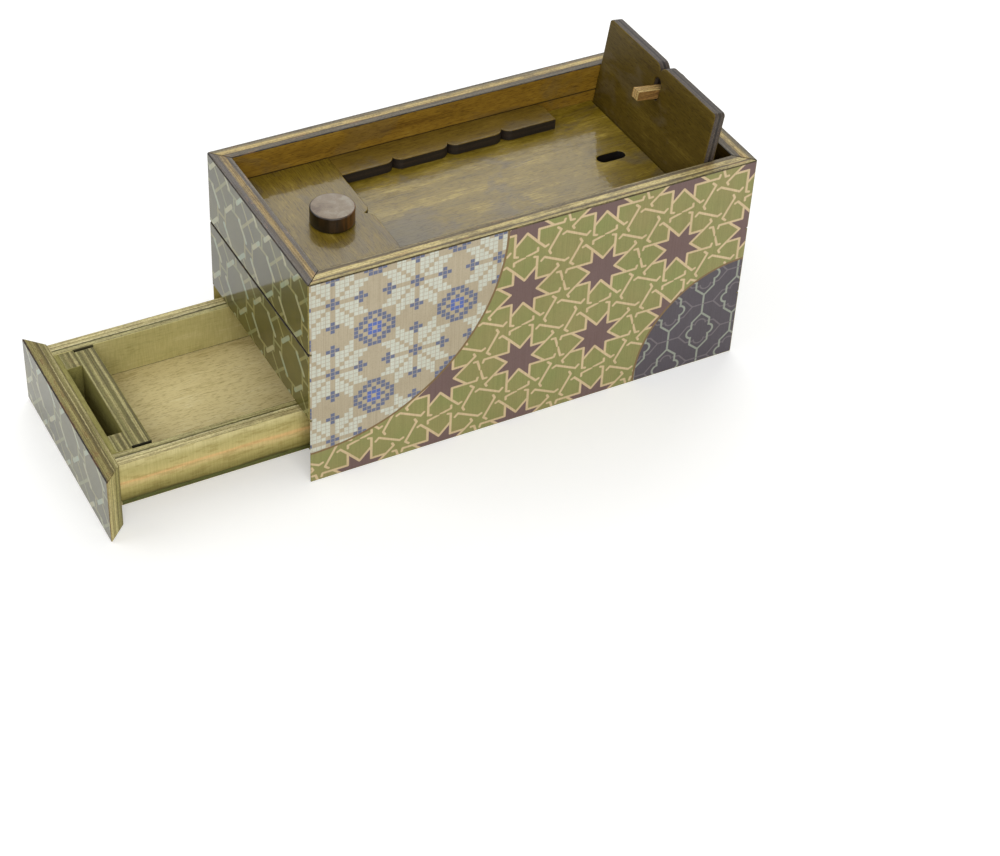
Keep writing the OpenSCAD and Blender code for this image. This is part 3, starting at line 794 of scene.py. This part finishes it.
def printed(work, colour, seed, half, coat=0.38, coat_rough=0.12, coat_index=1.5):
    """A print on veneer: the wood's fine upright streaks show through, the lacquer is satin, and the
    board's edges, half its length away at the sides, are dark."""
    streak = work.noise(0.45, 26, 1, detail=2, seed=seed)
    soil = work.noise(34, 26, 10, detail=4, seed=seed + 2)
    dots = work.noise(0.5, 0.5, detail=1, seed=seed + 4)
    colour = work.multiply(streak.beyond(0.52, 0.3) * 0.2, colour, (176, 164, 146))
    colour = work.multiply(soil.beyond(0.52, 0.3) * 0.2, colour, (208, 200, 176))
    colour = work.multiply(dots.beyond(0.56, 0.2) * 0.14, colour, (190, 186, 176))
    edge = abs(work.along).beyond(half - 0.3, 0.25) | work.across.beyond(TOP_Z - 0.4, 0.3)
    colour = work.mix(edge * 0.8, colour, (50, 40, 26))
    rough = 0.45 + soil * 0.2
    return work.surface(colour, rough, streak * 0.01, coat, coat_rough, 0.22, coat_index)


def from_point(work, middle):
    """Across and up, measured from a point of the print."""
    return work.x - middle[0], work.z - middle[1]


def disc(work, colour, place, edge_width, edge_colour, inside):
    """Lays a disc with a coloured edge over a print: it holds where the distance from its middle is
    below its radius."""
    middle, radius = place
    away = from_middle(*from_point(work, middle))
    colour = work.mix(away.within(radius, 0.12), colour, edge_colour)
    return work.mix(away.within(radius - edge_width, 0.12), colour, inside)


def front_print():
    """Long side: green strapwork with dark stars, a mosaic disc at one corner and a dark one at the other."""
    work = Finish("front print", (0, -SIDE_Y, 0), FRONT_TURN, "xzy")
    strap, star = star_field(work, *from_point(work, STAR_MIDDLE), *STAR_PITCH)
    drift = work.noise(18, 18, 5, detail=2, seed=4)
    green = work.mix(drift.beyond(0.5, 0.5), (137, 142, 79), (150, 142, 86))
    colour = work.mix(star, green, (112, 88, 84))
    colour = work.mix(strap, colour, (216, 192, 150))
    tiles = mosaic(work, *from_point(work, TILE_MIDDLE), *(pitch / TILES_IN_BLOCK for pitch in STAR_PITCH))
    lattice = lobed_lattice(work, *from_point(work, LATTICE_MIDDLE), *LATTICE_HALF)
    for place, inside in ((TILE_DISC, tiles), (LATTICE_DISC, lattice)):
        colour = disc(work, colour, place, 0.9, (128, 102, 62), inside)
    return printed(work, colour, 21, END_X)


def back_print():
    """Other long side: mauve strapwork, with a half disc of finer teal strapwork at its foot."""
    work = Finish("back print", (0, SIDE_Y, 0), BACK_TURN, "xzy")
    nearest, _, _, corner = woven_hexagons(
        work, MAUVE_MIDDLE[0] - work.x, work.z - MAUVE_MIDDLE[1], *MAUVE_PITCH, notch=0.288, leg=0.412,
        hook=0.105, tail=0.07
    )
    drift = work.noise(20, 20, 5, detail=2, seed=5)
    taupe = work.mix(drift.beyond(0.5, 0.5), (168, 150, 132), (160, 148, 138))
    colour = work.mix(corner.within(0.13, 0.01), taupe, (128, 104, 98))
    colour = work.mix(nearest.within(0.053, 0.012), colour, (104, 90, 82))
    colour = work.mix(nearest.within(0.035, 0.008), colour, (226, 212, 186))
    # the net of the disc is the same one laid on its side
    level, upright = from_point(work, TEAL_MIDDLE)
    nearest, a, b, _ = woven_hexagons(
        work, upright, level, *TEAL_PITCH, notch=0.289, leg=0.43, hook=0.11, tail=0.055
    )
    arm = a * math.cos(math.pi / 6) - b * 0.5
    teal = work.mix(nearest.within(0.06, 0.03) * 0.6, (138, 156, 136), (118, 142, 134))
    flower = abs(arm).within(0.052, 0.01) & (a * 0.5 + b * (math.sqrt(3) / 2)).within(0.29, 0.01)
    fine = work.mix(flower, teal, (190, 178, 80))
    fine = work.mix(nearest.within(0.021, 0.008), fine, (214, 224, 206))
    return printed(work, disc(work, colour, TEAL_DISC, 1.0, (134, 104, 72), fine), 22, END_X)


def end_print(name, origin, turn, seed):
    """Ends: dark olive under pale straps, with a glossier lacquer."""
    work = Finish(name, origin, turn, "xzy")
    thick, thin = linked_octagons(work, *from_point(work, OCTAGON_MIDDLE), OCTAGON_PITCH)
    drift = work.noise(26, 26, 5, detail=3, seed=seed)
    olive = work.mix(drift.beyond(0.5, 0.3), (62, 59, 8), (84, 80, 18))
    wash = work.noise(8, 8, 3, detail=1, seed=seed + 2).beyond(0.5, 0.2)
    colour = work.mix(thin * 0.9, olive, work.mix(wash, (142, 136, 82), (128, 132, 88)))
    colour = work.mix(thick * 0.95, colour, work.mix(wash, (148, 163, 138), (168, 164, 124)))
    return printed(work, colour, seed, SIDE_Y, coat=0.65, coat_rough=0.06, coat_index=1.6)


# ---- the woods of this box ----

RIM_LAYERS = [
    (0.0, 40, 32, 20), (0.04, 58, 48, 32), (0.08, 112, 102, 76), (0.24, 142, 130, 96),
    (0.29, 172, 152, 96), (0.36, 206, 184, 122), (0.56, 196, 172, 108),
    (0.62, 98, 82, 54), (0.69, 100, 92, 76), (0.9, 112, 104, 84), (0.94, 56, 46, 30),
    (1.0, 38, 30, 18)
]
FRONT_RIM_LAYERS = [
    (0.0, 60, 48, 28), (0.04, 150, 136, 86), (0.08, 192, 178, 120), (0.2, 184, 168, 110),
    (0.25, 112, 100, 66), (0.34, 122, 110, 76), (0.39, 204, 186, 126),
    (0.52, 218, 202, 142), (0.67, 206, 188, 126), (0.73, 104, 90, 60),
    (0.86, 112, 100, 74), (0.92, 158, 144, 98), (1.0, 58, 46, 26)
]
LEFT_RIM_LAYERS = [
    (0.0, 34, 28, 20), (0.05, 66, 58, 50), (0.1, 104, 98, 92), (0.36, 96, 90, 86),
    (0.44, 150, 130, 84), (0.56, 176, 150, 92), (0.69, 162, 138, 82),
    (0.75, 96, 90, 84), (0.9, 108, 102, 94), (0.95, 130, 122, 102), (1.0, 44, 36, 24)
]
SIDE_LAYERS = [
    (0.0, 112, 106, 56), (0.07, 206, 194, 136), (0.3, 222, 210, 154),
    (0.35, 134, 122, 66), (0.4, 206, 196, 140), (0.56, 222, 212, 160),
    (0.6, 88, 84, 40), (0.68, 112, 108, 56), (0.73, 190, 182, 126), (0.94, 182, 174, 116),
    (1.0, 104, 100, 54)
]
CROSS_LAYERS = [
    (0.0, 158, 152, 98), (0.06, 176, 170, 114), (0.12, 120, 115, 62), (0.28, 128, 122, 68),
    (0.34, 178, 170, 112), (0.42, 168, 160, 102), (0.5, 106, 101, 50), (0.66, 120, 114, 60),
    (0.72, 190, 182, 126), (0.8, 176, 168, 110), (0.86, 104, 98, 50), (1.0, 124, 118, 66)
]
PANEL_LAYERS = [
    (0.0, 24, 18, 10), (0.06, 34, 26, 13), (0.1, 142, 132, 74), (0.36, 164, 154, 94),
    (0.44, 120, 108, 56), (0.6, 112, 102, 52), (0.64, 196, 184, 132), (0.68, 128, 120, 66),
    (0.84, 148, 140, 84), (0.9, 186, 176, 122), (1.0, 124, 116, 66)
]
MITRE_LAYERS = [
    (0.0, 128, 104, 54), (0.08, 214, 202, 138), (0.32, 208, 196, 130), (0.37, 152, 144, 82),
    (0.42, 216, 206, 142), (0.6, 200, 190, 124), (0.66, 142, 136, 74), (0.8, 186, 178, 114),
    (1.0, 112, 106, 56)
]
PLATE_LAYERS = [
    (0.0, 30, 24, 14), (0.1, 70, 60, 52), (0.4, 84, 74, 66), (0.46, 26, 20, 14),
    (0.6, 36, 28, 22), (0.66, 80, 70, 64), (0.9, 66, 56, 48), (1.0, 24, 18, 10)
]
PEG_LAYERS = [
    (0.0, 150, 112, 58), (0.1, 218, 192, 126), (0.26, 208, 178, 108), (0.32, 112, 76, 32),
    (0.38, 214, 182, 120), (0.56, 206, 172, 108), (0.62, 116, 80, 34), (0.68, 218, 188, 128),
    (0.9, 198, 162, 98), (1.0, 140, 104, 52)
]
CUT_LAYERS = [(0.0, 20, 14, 8), (0.3, 30, 22, 14), (0.5, 46, 34, 24), (0.7, 28, 20, 14), (1.0, 38, 28, 16)]

outer_front = front_print()
outer_back = back_print()
outer_left, outer_right, outer_drawer = (
    end_print(f"{end} end print", (face_x, 0, 0), turn, seed)
    for end, face_x, turn, seed in (
        ("left", -END_X, LEFT_TURN, 31), ("right", END_X, RIGHT_TURN, 32), ("drawer", DRAWER_X, LEFT_TURN, 31)
    )
)
rim_front, rim_back, rim_left, rim_right = (
    ply_edge(f"{side} rim", seed, WALL_T, layers, turn, face, "xzy", half=half)
    for side, seed, layers, turn, face, half in (
        ("front", 1, FRONT_RIM_LAYERS, FRONT_TURN, (0, -SIDE_Y, 0), END_X),
        ("back", 2, RIM_LAYERS, BACK_TURN, (0, SIDE_Y, 0), END_X),
        ("left", 3, LEFT_RIM_LAYERS, LEFT_TURN, (-END_X, 0, 0), SIDE_Y),
        ("right", 4, RIM_LAYERS, RIGHT_TURN, (END_X, 0, 0), SIDE_Y)
    )
)
inner_long = lacquered("inner long wall", 11, ((92, 62, 10), (144, 111, 33), (180, 148, 62)), grain="xzy",
                       coat=0.2, coat_rough=0.2, seam=STRIP_TOP, smoke=0.3)
inner_end = lacquered("inner end wall", 12, ((74, 54, 10), (112, 90, 24), (142, 118, 44)), ACROSS_TURN,
                      grain="xzy", coat=0.2, coat_rough=0.2, smoke=0.3)
# painted shade: the right end's inner face is stained far darker than the other inner walls, for the shade in
# the gap beside the tipped plate
shaded_inner_right = lacquered("inner right end", 34, ((44, 32, 8), (74, 58, 18), (98, 80, 30)), ACROSS_TURN,
                        grain="xzy", coat=0.1, coat_rough=0.25, smoke=0.2)
tray = lacquered("tray floor", 13, ((68, 54, 6), (131, 111, 25), (190, 167, 74)), coat=0.5, smoke=0.62,
                 dark_patch=(-35.0, -13.0, 11.0))
long_strip = lacquered("long strip", 14, ((68, 54, 6), (116, 94, 28), (154, 128, 54)))
cross_plate = lacquered("cross plate", 15, turn=ACROSS_TURN)
tipped_plate = lacquered("tipped plate", 16, ((58, 44, 10), (90, 74, 22), (118, 100, 38)), (0, TIP_ANGLE, 0),
                         [value / MM for value in TIP_POINT], "yxz", coat=0.0, shine=0.15)
plate_under = TIPPED_UP @ (Vector((0, 0, flat_size_of("right_plate")[0][2])) * MM)
tipped_edge = ply_edge(
    "tipped plate's edge", 25, STRIP_TOP - TRAY_Z, PLATE_LAYERS, (0, TIP_ANGLE, 0),
    [value / MM for value in plate_under], "yxz", wander=0.12, wear=0.15
)

side_out = sawn_side("drawer side face", 17)
side_in = side_lining("drawer side lining", 26)
side_top_front, side_top_back = (
    ply_edge(f"{side} side's top", seed, SIDE_T, SIDE_LAYERS, turn, (0, face_y, 0), "xzy", coat=0, wear=0.2)
    for side, seed, turn, face_y in (
        ("front", 6, FRONT_TURN, -DRAWER_SIDE_Y), ("back", 7, BACK_TURN, DRAWER_SIDE_Y)
    )
)
straw = bare_wood("drawer floor", 18, ((184, 166, 108), (222, 206, 150), (238, 226, 178)))
floor_edge = bare_wood("drawer floor's edge", 27, ((58, 60, 24), (82, 84, 38), (104, 104, 54)))
cross_face = bare_wood("cross wall face", 19, ((92, 90, 42), (134, 128, 70), (168, 160, 100)), ACROSS_TURN,
                       "xzy")
scorched = bare_wood("scorched end", 28, ((22, 20, 10), (34, 32, 16), (52, 48, 26)))
cross_top = top_edge("cross wall's top", 8, "drawer_cross_wall", CROSS_LAYERS, wear=0.15)
block_top = top_edge("pocket block's top", 29, "pocket_block_front", CROSS_LAYERS, wear=0.15)
back_top = top_edge("drawer back's top", 9, "drawer_back", SIDE_LAYERS)
panel_top = top_edge("drawer front's top", 5, "drawer_front", PANEL_LAYERS, wear=0.1, stain=0.4, relief=0.2)
panel_mitre = ply_edge("drawer front's mitre", 30, WALL_T, MITRE_LAYERS, LEFT_TURN, (DRAWER_X, 0, 0), "zxy",
                       coat=0, wear=0.1, wander=0.15)
peg_ply = ply_edge("peg's ply", 33, PEG_W, PEG_LAYERS, FRONT_TURN, (0, size_of("left_peg")[0][1], 0), "xzy",
                   coat=0, wander=0.04, wear=0.0)
dark_edge = ply_edge("dark cut edge", 10, STRIP_TOP - TRAY_Z, CUT_LAYERS, origin=(0, 0, TRAY_Z), coat=0.15,
                     wear=0.0)
plain_birch = bare_wood("plain birch", 20)
plain_cross = bare_wood("plain cross birch", 23, turn=ACROSS_TURN)


def knob_side(name, origin, turn):
    """Turned side of a knob, darker at its foot. Painted shade makes it nearly black at the drawer end,
    and painted light makes it amber at the other."""
    work = Finish(name, origin, turn, "zxy")
    streak = work.noise(14, 1.2, detail=3, seed=41)
    patch = work.noise(9, 3, detail=3, seed=42)
    # painted shade and light: the work.x term darkens the side towards the drawer end and turns it amber
    # towards the other
    colour = work.ramp(streak * 0.35 + patch * 0.3 + work.x * 0.028 + 0.2, [
        (0.3, 18, 11, 4), (0.5, 46, 29, 9), (0.68, 92, 58, 19), (0.86, 128, 84, 32)
    ])
    colour = work.mix(work.z.within(0.7, 0.5) * 0.8, colour, (20, 12, 6))
    return work.surface(colour, 0.32 + streak * 0.2, streak * 0.02, coat=0.28, coat_rough=0.15)


def knob_top(name, origin, turn):
    """Top of a knob: dull brown end grain under a mottled film. Its grey is partly painted sheen, and painted
    light makes it paler and greyer away from the drawer end.
    """
    work = Finish(name, origin, turn)
    speckle = work.noise(0.45, 0.45, detail=3, seed=44, rough=0.7)
    film = work.noise(5, 5, detail=5, seed=45, rough=0.62, warp=0.5)
    # painted sheen and light: the grey stops and the work.x term make the top paler and greyer away from the
    # drawer end
    colour = work.ramp(film * 0.75 + speckle * 0.25 + work.x * 0.012, [
        (0.3, 88, 68, 46), (0.48, 122, 106, 84), (0.66, 142, 132, 114)
    ])
    return work.surface(colour, 0.5 + speckle * 0.2, speckle * 0.02, coat=0.3, coat_rough=0.3)


# ---- pieces ----


def case_wall(name, node, back, finishes, seed):
    """Long wall: a mitred trapezoid in plan carried up, with the slits' kerfs in its ends."""
    # finishes: outer print, inner lacquer, rim, bare mitre
    if back:
        corners = [(IN_X, IN_Y), (END_X, SIDE_Y), (-END_X, SIDE_Y), (-IN_X, IN_Y)]
        by_edge = np.array([3, 0, 3, 1])
    else:
        corners = [(-END_X, -SIDE_Y), (END_X, -SIDE_Y), (IN_X, -IN_Y), (-IN_X, -IN_Y)]
        by_edge = np.array([0, 3, 1, 3])
    outline, edge = eased_corners(corners, BOARD_CORNER)
    kerfs = [(*slit, END_X - KERF_D) for slit in (LOW_SLIT, HIGH_SLIT)]
    return board(
        name, node, outline, "xy", (0, TOP_Z), finishes, "case",
        by_edge[edge], faces=(3, 2), ease=0.3, kerfs=kerfs, seed=seed
    )


def end_band(name, node, finishes, seed, shift=0.0, shrink=0.0, body="case"):
    """Band across an end: a mitred trapezoid in plan, carried up over the band's height."""
    low, high = size_of(node)
    left = (low[0] + high[0]) / 2 - shift < 0
    sign = -1 if left else 1
    out_y, in_y = SIDE_Y - shrink, IN_Y - shrink
    corners = [(sign * END_X, -sign * out_y), (sign * END_X, sign * out_y),
               (sign * IN_X, sign * in_y), (sign * IN_X, -sign * in_y)]
    outline, edge = eased_corners(corners, BOARD_CORNER)
    outline[:, 0] += shift
    by_edge = np.array([0, 3, 1, 3])
    return board(
        name, node, outline, "xy", (low[2], high[2]), finishes, body=body,
        owner=by_edge[edge], faces=(3, 2), ease=0.3, seed=seed
    )


CUSP_W, CUSP_D, CUSP_PITCH = 3.9, 2.7, 22.9
CUSP_R = (CUSP_W ** 2 + CUSP_D ** 2) / (2 * CUSP_D)
CORNER_R = 3.6


def cusp(middle, edge):
    """Two round shoulders of radius CUSP_R that meet in a sharp notch, from right to left."""
    turn = math.degrees(math.asin(CUSP_W / CUSP_R))
    right = arc((middle + CUSP_W, edge - CUSP_R), CUSP_R, 90, 90 + turn, 8)
    left = arc((middle - CUSP_W, edge - CUSP_R), CUSP_R, 90 - turn, 90, 8)
    return np.vstack([right, left[1:]])


def tray_strip(name, node, back, seed):
    """Long strip beside the window: straight at the wall, three cusps along the window."""
    low, high = size_of(node)
    wall_y, window_y = -IN_Y, -IN_Y + high[1] - low[1]
    path = [line((low[0], wall_y), (high[0] - CORNER_R, wall_y)),
            arc((high[0] - CORNER_R, wall_y + CORNER_R), CORNER_R, -90, 0, 8)[:-1],
            line((high[0], wall_y + CORNER_R), (high[0], window_y))]
    start = high[0]
    for middle in (CUSP_PITCH, 0.0, -CUSP_PITCH):
        path += [line((start, window_y), (middle + CUSP_W, window_y)), cusp(middle, window_y)[:-1]]
        start = middle - CUSP_W
    path.append(through((start, window_y), (low[0], window_y), (low[0], wall_y)))
    outline = np.vstack(path)
    if back:
        outline = (outline * (1, -1))[::-1]
    return board(
        name, node, outline, "xy", (low[2], high[2]), [long_strip, dark_edge],
        owner=1, faces=(0, 0), ease=0.35, seed=seed
    )


PLAY = 0.3
FLOOR_SLOT_W, FLOOR_SLOT_SPARE = 5.0, 1.9
PLATE_R = 1.5


def bulge(width):
    """How far a slot's round end stands past a peg in it."""
    return width / 2 - math.sqrt((width / 2) ** 2 - (PEG_W / 2) ** 2)


def travel(joint_name):
    return next(joint for joint in frame["joints"] if joint["name"] == joint_name)["range_m"][1] / MM


def peg_slot(low, high, run):
    """Slot that a peg slides in towards the left, with a little play at both ends."""
    width = PEG_W + 2 * PLAY
    return round_slot(low[0] - run - PLAY - bulge(width), high[0] + PLAY + bulge(width), width)


def tray_floor():
    """Tray floor with the lock knob's slot, and the slot that lets the loose plate's peg swing
    through: it starts where the peg's lower inner corner, on its circle about the hinge, passes
    the floor's top."""
    low, high = size_of("recess_floor")
    peg_low, peg_high = flat_size_of("right_peg")
    hinge_x, hinge_z = TIP_POINT[0] / MM, TIP_POINT[2] / MM
    radius = math.hypot(peg_low[0] - hinge_x, peg_low[2] - hinge_z)
    swing = hinge_x - math.sqrt(radius ** 2 - (TRAY_Z - hinge_z) ** 2)
    end = bulge(FLOOR_SLOT_W)
    outline = through((low[0], -IN_Y), (high[0], -IN_Y), (high[0], 0), (high[0], IN_Y), (low[0], IN_Y),
                      (low[0], 0), (low[0], -IN_Y))
    board(
        "tray_floor_board", "recess_floor", outline, "xy", (low[2], high[2]), [tray, dark_edge],
        owner=1, ease=0.2,
        holes=[peg_slot(*size_of("left_peg"), travel("lock_knob_slide")),
               round_slot(swing - PLAY - end, peg_high[0] + end + FLOOR_SLOT_SPARE, FLOOR_SLOT_W)]
    )


def left_plate():
    """Fixed plate at the drawer end, with one cusp in the edge that faces the window."""
    low, high = size_of("left_plate")
    notch = cusp(0.0, high[0])
    notch = np.stack([notch[:, 1], -notch[:, 0]], 1)
    outline = np.vstack([
        through((low[0], -IN_Y), (high[0], -IN_Y), notch[0]), notch[:-1],
        through(notch[-1], (high[0], IN_Y), (low[0], IN_Y), (low[0], 0), (low[0], -IN_Y))
    ])
    board(
        "left_plate_board", "left_plate", outline, "xy", (low[2], high[2]), [cross_plate, dark_edge],
        owner=1, ease=0.4,
        holes=[peg_slot(*size_of("left_peg"), travel("lock_knob_slide"))], seed=18
    )


def loose_plate():
    """Loose plate, drawn flat and then tipped up: cusp in its inner edge, inner corners rounded."""
    low, high = flat_size_of("right_plate")
    notch = cusp(0.0, -low[0])
    notch = np.stack([-notch[:, 1], notch[:, 0]], 1)
    inner, edge = low[0] + PLATE_R, high[1] - PLATE_R
    outline = np.vstack([
        through((inner, low[1]), (high[0], low[1]), (high[0], 0), high[:2], (inner, high[1])),
        arc((inner, edge), PLATE_R, 90, 180, 7)[:-1],
        line((low[0], edge), notch[0]), notch[:-1], line(notch[-1], (low[0], -edge)),
        arc((inner, -edge), PLATE_R, 180, 270, 7)[:-1]
    ])
    board(
        "loose_plate_board", "right_plate", outline, "xy", (low[2], high[2]), [tipped_plate, tipped_edge],
        body="tilting_plate", owner=1, ease=0.45,
        holes=[peg_slot(*flat_size_of("right_peg"), travel("plate_knob_slide"))], place=TIPPED_UP, seed=19
    )


def knob_profile(radius, height, ease=0.6, crown=0.2, hub=0.4):
    """Foot, upright side and slightly crowned top: quarter rounds at both edges, and a crown that
    rises by its height x (1 - (distance / radius) squared). The hub is the innermost ring."""
    turn = np.linspace(0, math.pi / 2, 6)
    flat = radius - ease
    foot = np.stack([flat + ease * np.sin(turn), ease - ease * np.cos(turn)], 1)
    shoulder = np.stack([flat + ease * np.cos(turn), height - crown - ease + ease * np.sin(turn)], 1)
    inward = np.linspace(flat, hub, 10)[1:]
    top = np.stack([inward, height - crown + crown * (1 - (inward / flat) ** 2)], 1)
    under = np.stack([np.linspace(hub, flat, 4)[:-1], np.zeros(3)], 1)
    return np.vstack([under, foot, shoulder, top]), len(under) + len(foot)


def turned_knob(name, node, low, high, side, top, body, place=None):
    """A knob that fills its node, closed over its peg."""
    radius, height = (high[1] - low[1]) / 2, high[2] - low[2]
    centre = ((low[0] + high[0]) / 2, (low[1] + high[1]) / 2, low[2])
    profile, side_rings = knob_profile(radius, height)
    rows = np.zeros(len(profile) - 1, int)
    rows[side_rings + 4:] = 1
    return turned(name, centre, profile, [side, top], rows, body, [node], place)


case_wall("front_wall_board", "front_wall", False, [outer_front, inner_long, rim_front, plain_birch], 1)
case_wall("back_wall_board", "back_wall", True, [outer_back, inner_long, rim_back, plain_birch], 2)
left_finishes = [outer_left, inner_end, rim_left, plain_cross]
right_finishes = [outer_right, shaded_inner_right, rim_right, plain_cross]
for seed, (band, finishes) in enumerate((
    ("left_top", left_finishes), ("left_middle", left_finishes), ("right_top", right_finishes),
    ("right_middle", right_finishes), ("right_bottom", right_finishes)
), 3):
    end_band(f"{band}_band_board", f"{band}_band", finishes, seed)
end_band("drawer_front_board", "drawer_front", [outer_drawer, cross_face, panel_top, panel_mitre], 8,
         shift=DRAWER_SHIFT, shrink=0.3, body="drawer")

tray_strip("front_strip_board", "front_strip", False, 9)
tray_strip("back_strip_board", "back_strip", True, 10)
tray_floor()
left_plate()
loose_plate()

for side, (low, high), place, turn, body in (
    ("left", size_of("left_knob"), Matrix.Identity(4), (0, 0, 0), "lock_knob"),
    ("right", flat_size_of("right_knob"), TIPPED_UP, (0, TIP_ANGLE, 0), "plate_knob"),
):
    middle_x = (low[0] + high[0]) / 2
    foot, head = (
        [value / MM for value in place @ (Vector((middle_x, 0, level)) * MM)] for level in (low[2], high[2])
    )
    turned_knob(f"{side}_turned_knob", f"{side}_knob", low, high, knob_side(f"{side} knob side", foot, turn),
                knob_top(f"{side} knob top", head, turn), body, place)

# boards of the drawer: node, way, finishes, those of the four sides and of the ends, easing, slot, seed
for node, along, finishes, sides, ends, ease, slot_name, seed in (
    ("drawer_side_front", "x", [side_out, side_top_front, side_in], (0, 2, 1, 0), (0, 0), 0.3, "raw_ply", 11),
    ("drawer_side_back", "x", [side_out, side_top_back, side_in], (0, 0, 1, 2), (0, 0), 0.3, "raw_ply", 12),
    ("drawer_cross_wall", "y", [cross_face, cross_top, scorched], (0, 1, 0, 0), (2, 2), 0.3, "pale_ply", 13),
    ("pocket_liner", "y", [cross_face], (0, 0, 0, 0), (0, 0), 0.2, "pale_ply", 14),
    ("drawer_back", "y", [cross_face, back_top], (0, 1, 0, 0), (0, 0), 0.3, "raw_ply", 15),
    ("drawer_bottom", "x", [straw, floor_edge], (0, 1, 0, 1), (0, 0), 0.2, "raw_ply", 16),
    ("pocket_block_front", "y", [cross_face, block_top], (0, 1, 0, 0), (0, 0), 0.2, "pale_ply", 17),
    ("pocket_block_back", "y", [cross_face, block_top], (0, 1, 0, 0), (0, 0), 0.2, "pale_ply", 17),
):
    batten(node + "_board", node, along, finishes, "drawer", sides, ends, ease, seed)

# boards of the case and the lock that keep their own shapes
for finish, nodes in (
    (plain_birch, ("bottom_board", "drawer_bay_roof", "drawer_runner_front", "drawer_runner_back",
                   "bar_rail_front", "bar_rail_back", "slider_runner_front", "slider_runner_back",
                   "lock_slider")),
    (plain_cross, ("chamber_wall", "lock_bar", "bar_cheek_front", "bar_cheek_back", "cam_plate", "cam_pin")),
    (peg_ply, ("left_peg", "right_peg")),
):
    for node in nodes:
        mesh = frame["nodes"][node].data
        mesh.materials.clear()
        mesh.materials.append(finish)

# ---- floor, light and camera ----

# the camera's place in metres and its turns in radians; the picture, the focal length and the optical
# centre in picture points; the light of the room and the floor's glow; half the floor's width in metres
CAMERA_PLACE = (-0.34138, -0.60148, 0.55299)
CAMERA_TURN = 0.4883
CAMERA_DOWN = 0.6982
CAMERA_ROLL = 0.0326
PICTURE_W, PICTURE_H = 1000, 856
FOCAL_PIXELS = 2279.2
OPTICAL_CENTRE = (422.0, 399.1)
ROOM_LIGHT, FLOOR_GLOW = 0.55, 0.35
FLOOR_REACH = 6.0


def camera():
    """Camera with its focal length and shift worked out from the picture's width."""
    data = bpy.data.cameras.new("camera")
    data.sensor_width = 36.0
    data.lens = FOCAL_PIXELS / PICTURE_W * data.sensor_width
    data.shift_x = (PICTURE_W / 2 - OPTICAL_CENTRE[0]) / PICTURE_W
    data.shift_y = (OPTICAL_CENTRE[1] - PICTURE_H / 2) / PICTURE_W
    data.clip_start, data.clip_end = 0.01, 50
    piece = bpy.data.objects.new("camera", data)
    piece.matrix_world = (
        Matrix.Translation(CAMERA_PLACE) @ Matrix.Rotation(-CAMERA_TURN, 4, "Z")
        @ Matrix.Rotation(math.pi / 2 - CAMERA_DOWN, 4, "X") @ Matrix.Rotation(CAMERA_ROLL, 4, "Z")
    )
    bpy.context.scene.collection.objects.link(piece)
    bpy.context.scene.camera = piece


def lamp(name, place, target, width, height, power):
    """Soft rectangular lamp that faces its target."""
    data = bpy.data.lights.new(name, "AREA")
    data.shape, data.size, data.size_y, data.energy = "RECTANGLE", width, height, power
    piece = bpy.data.objects.new(name, data)
    away = Vector(place) - Vector(target)
    piece.matrix_world = Matrix.Translation(place) @ away.to_track_quat("Z", "Y").to_matrix().to_4x4()
    bpy.context.scene.collection.objects.link(piece)


def floor():
    """Pale floor that reads white to the camera and in reflections, and keeps the shadow."""
    mesh = bpy.data.meshes.new("floor")
    corners = [(x * FLOOR_REACH, y * FLOOR_REACH, 0) for x, y in ((-1, -1), (1, -1), (1, 1), (-1, 1))]
    mesh.from_pydata(corners, [], [(0, 1, 2, 3)])
    material = bpy.data.materials.new("pale floor")
    material.use_nodes = True
    tree = material.node_tree
    tree.nodes.clear()
    matte = tree.nodes.new("ShaderNodeBsdfDiffuse")
    matte.inputs["Color"].default_value = (0.8, 0.8, 0.79, 1)
    glow = node_of(tree, "ShaderNodeEmission", None, seen_by_eye(tree, FLOOR_GLOW))
    both = node_of(tree, "ShaderNodeAddShader", matte.outputs[0], glow.outputs[0])
    node_of(tree, "ShaderNodeOutputMaterial", both.outputs[0])
    mesh.materials.append(material)
    piece = bpy.data.objects.new("floor", mesh)
    bpy.context.scene.collection.objects.link(piece)


def seen_by_eye(tree, strength):
    """The strength for the camera, mirrors and glass, 0 for the light thrown on the object."""
    path = tree.nodes.new("ShaderNodeLightPath")
    eye, mirror, glass = (
        Value(tree, path.outputs[f"Is {kind} Ray"]) for kind in ("Camera", "Glossy", "Transmission")
    )
    return eye.most(mirror).most(glass) * strength


def sky():
    """White all round to the eye, and a plain soft light on the object."""
    world = bpy.data.worlds.new("room")
    world.use_nodes = True
    tree = world.node_tree
    tree.nodes.clear()
    light = node_of(tree, "ShaderNodeBackground", None, ROOM_LIGHT)
    white = node_of(tree, "ShaderNodeBackground", None, 1.0)
    mixed = node_of(tree, "ShaderNodeMixShader", seen_by_eye(tree, 1.0), light.outputs[0], white.outputs[0])
    node_of(tree, "ShaderNodeOutputWorld", mixed.outputs[0])
    bpy.context.scene.world = world


camera()
floor()
sky()
# each lamp's place and target, width and height, all in metres, and its power in watts
lamp("behind", (0.55, 0.95, 0.95), (0, 0, 0.06), 1.3, 0.8, 8)
lamp("front", (-0.35, -1.3, 0.8), (0, 0, 0.04), 1.2, 0.9, 12)
lamp("drawer end", (-1.0, 0.35, 1.05), (-0.1, 0, 0.02), 0.9, 0.9, 5)

bpy.context.scene.view_settings.view_transform = "Standard"
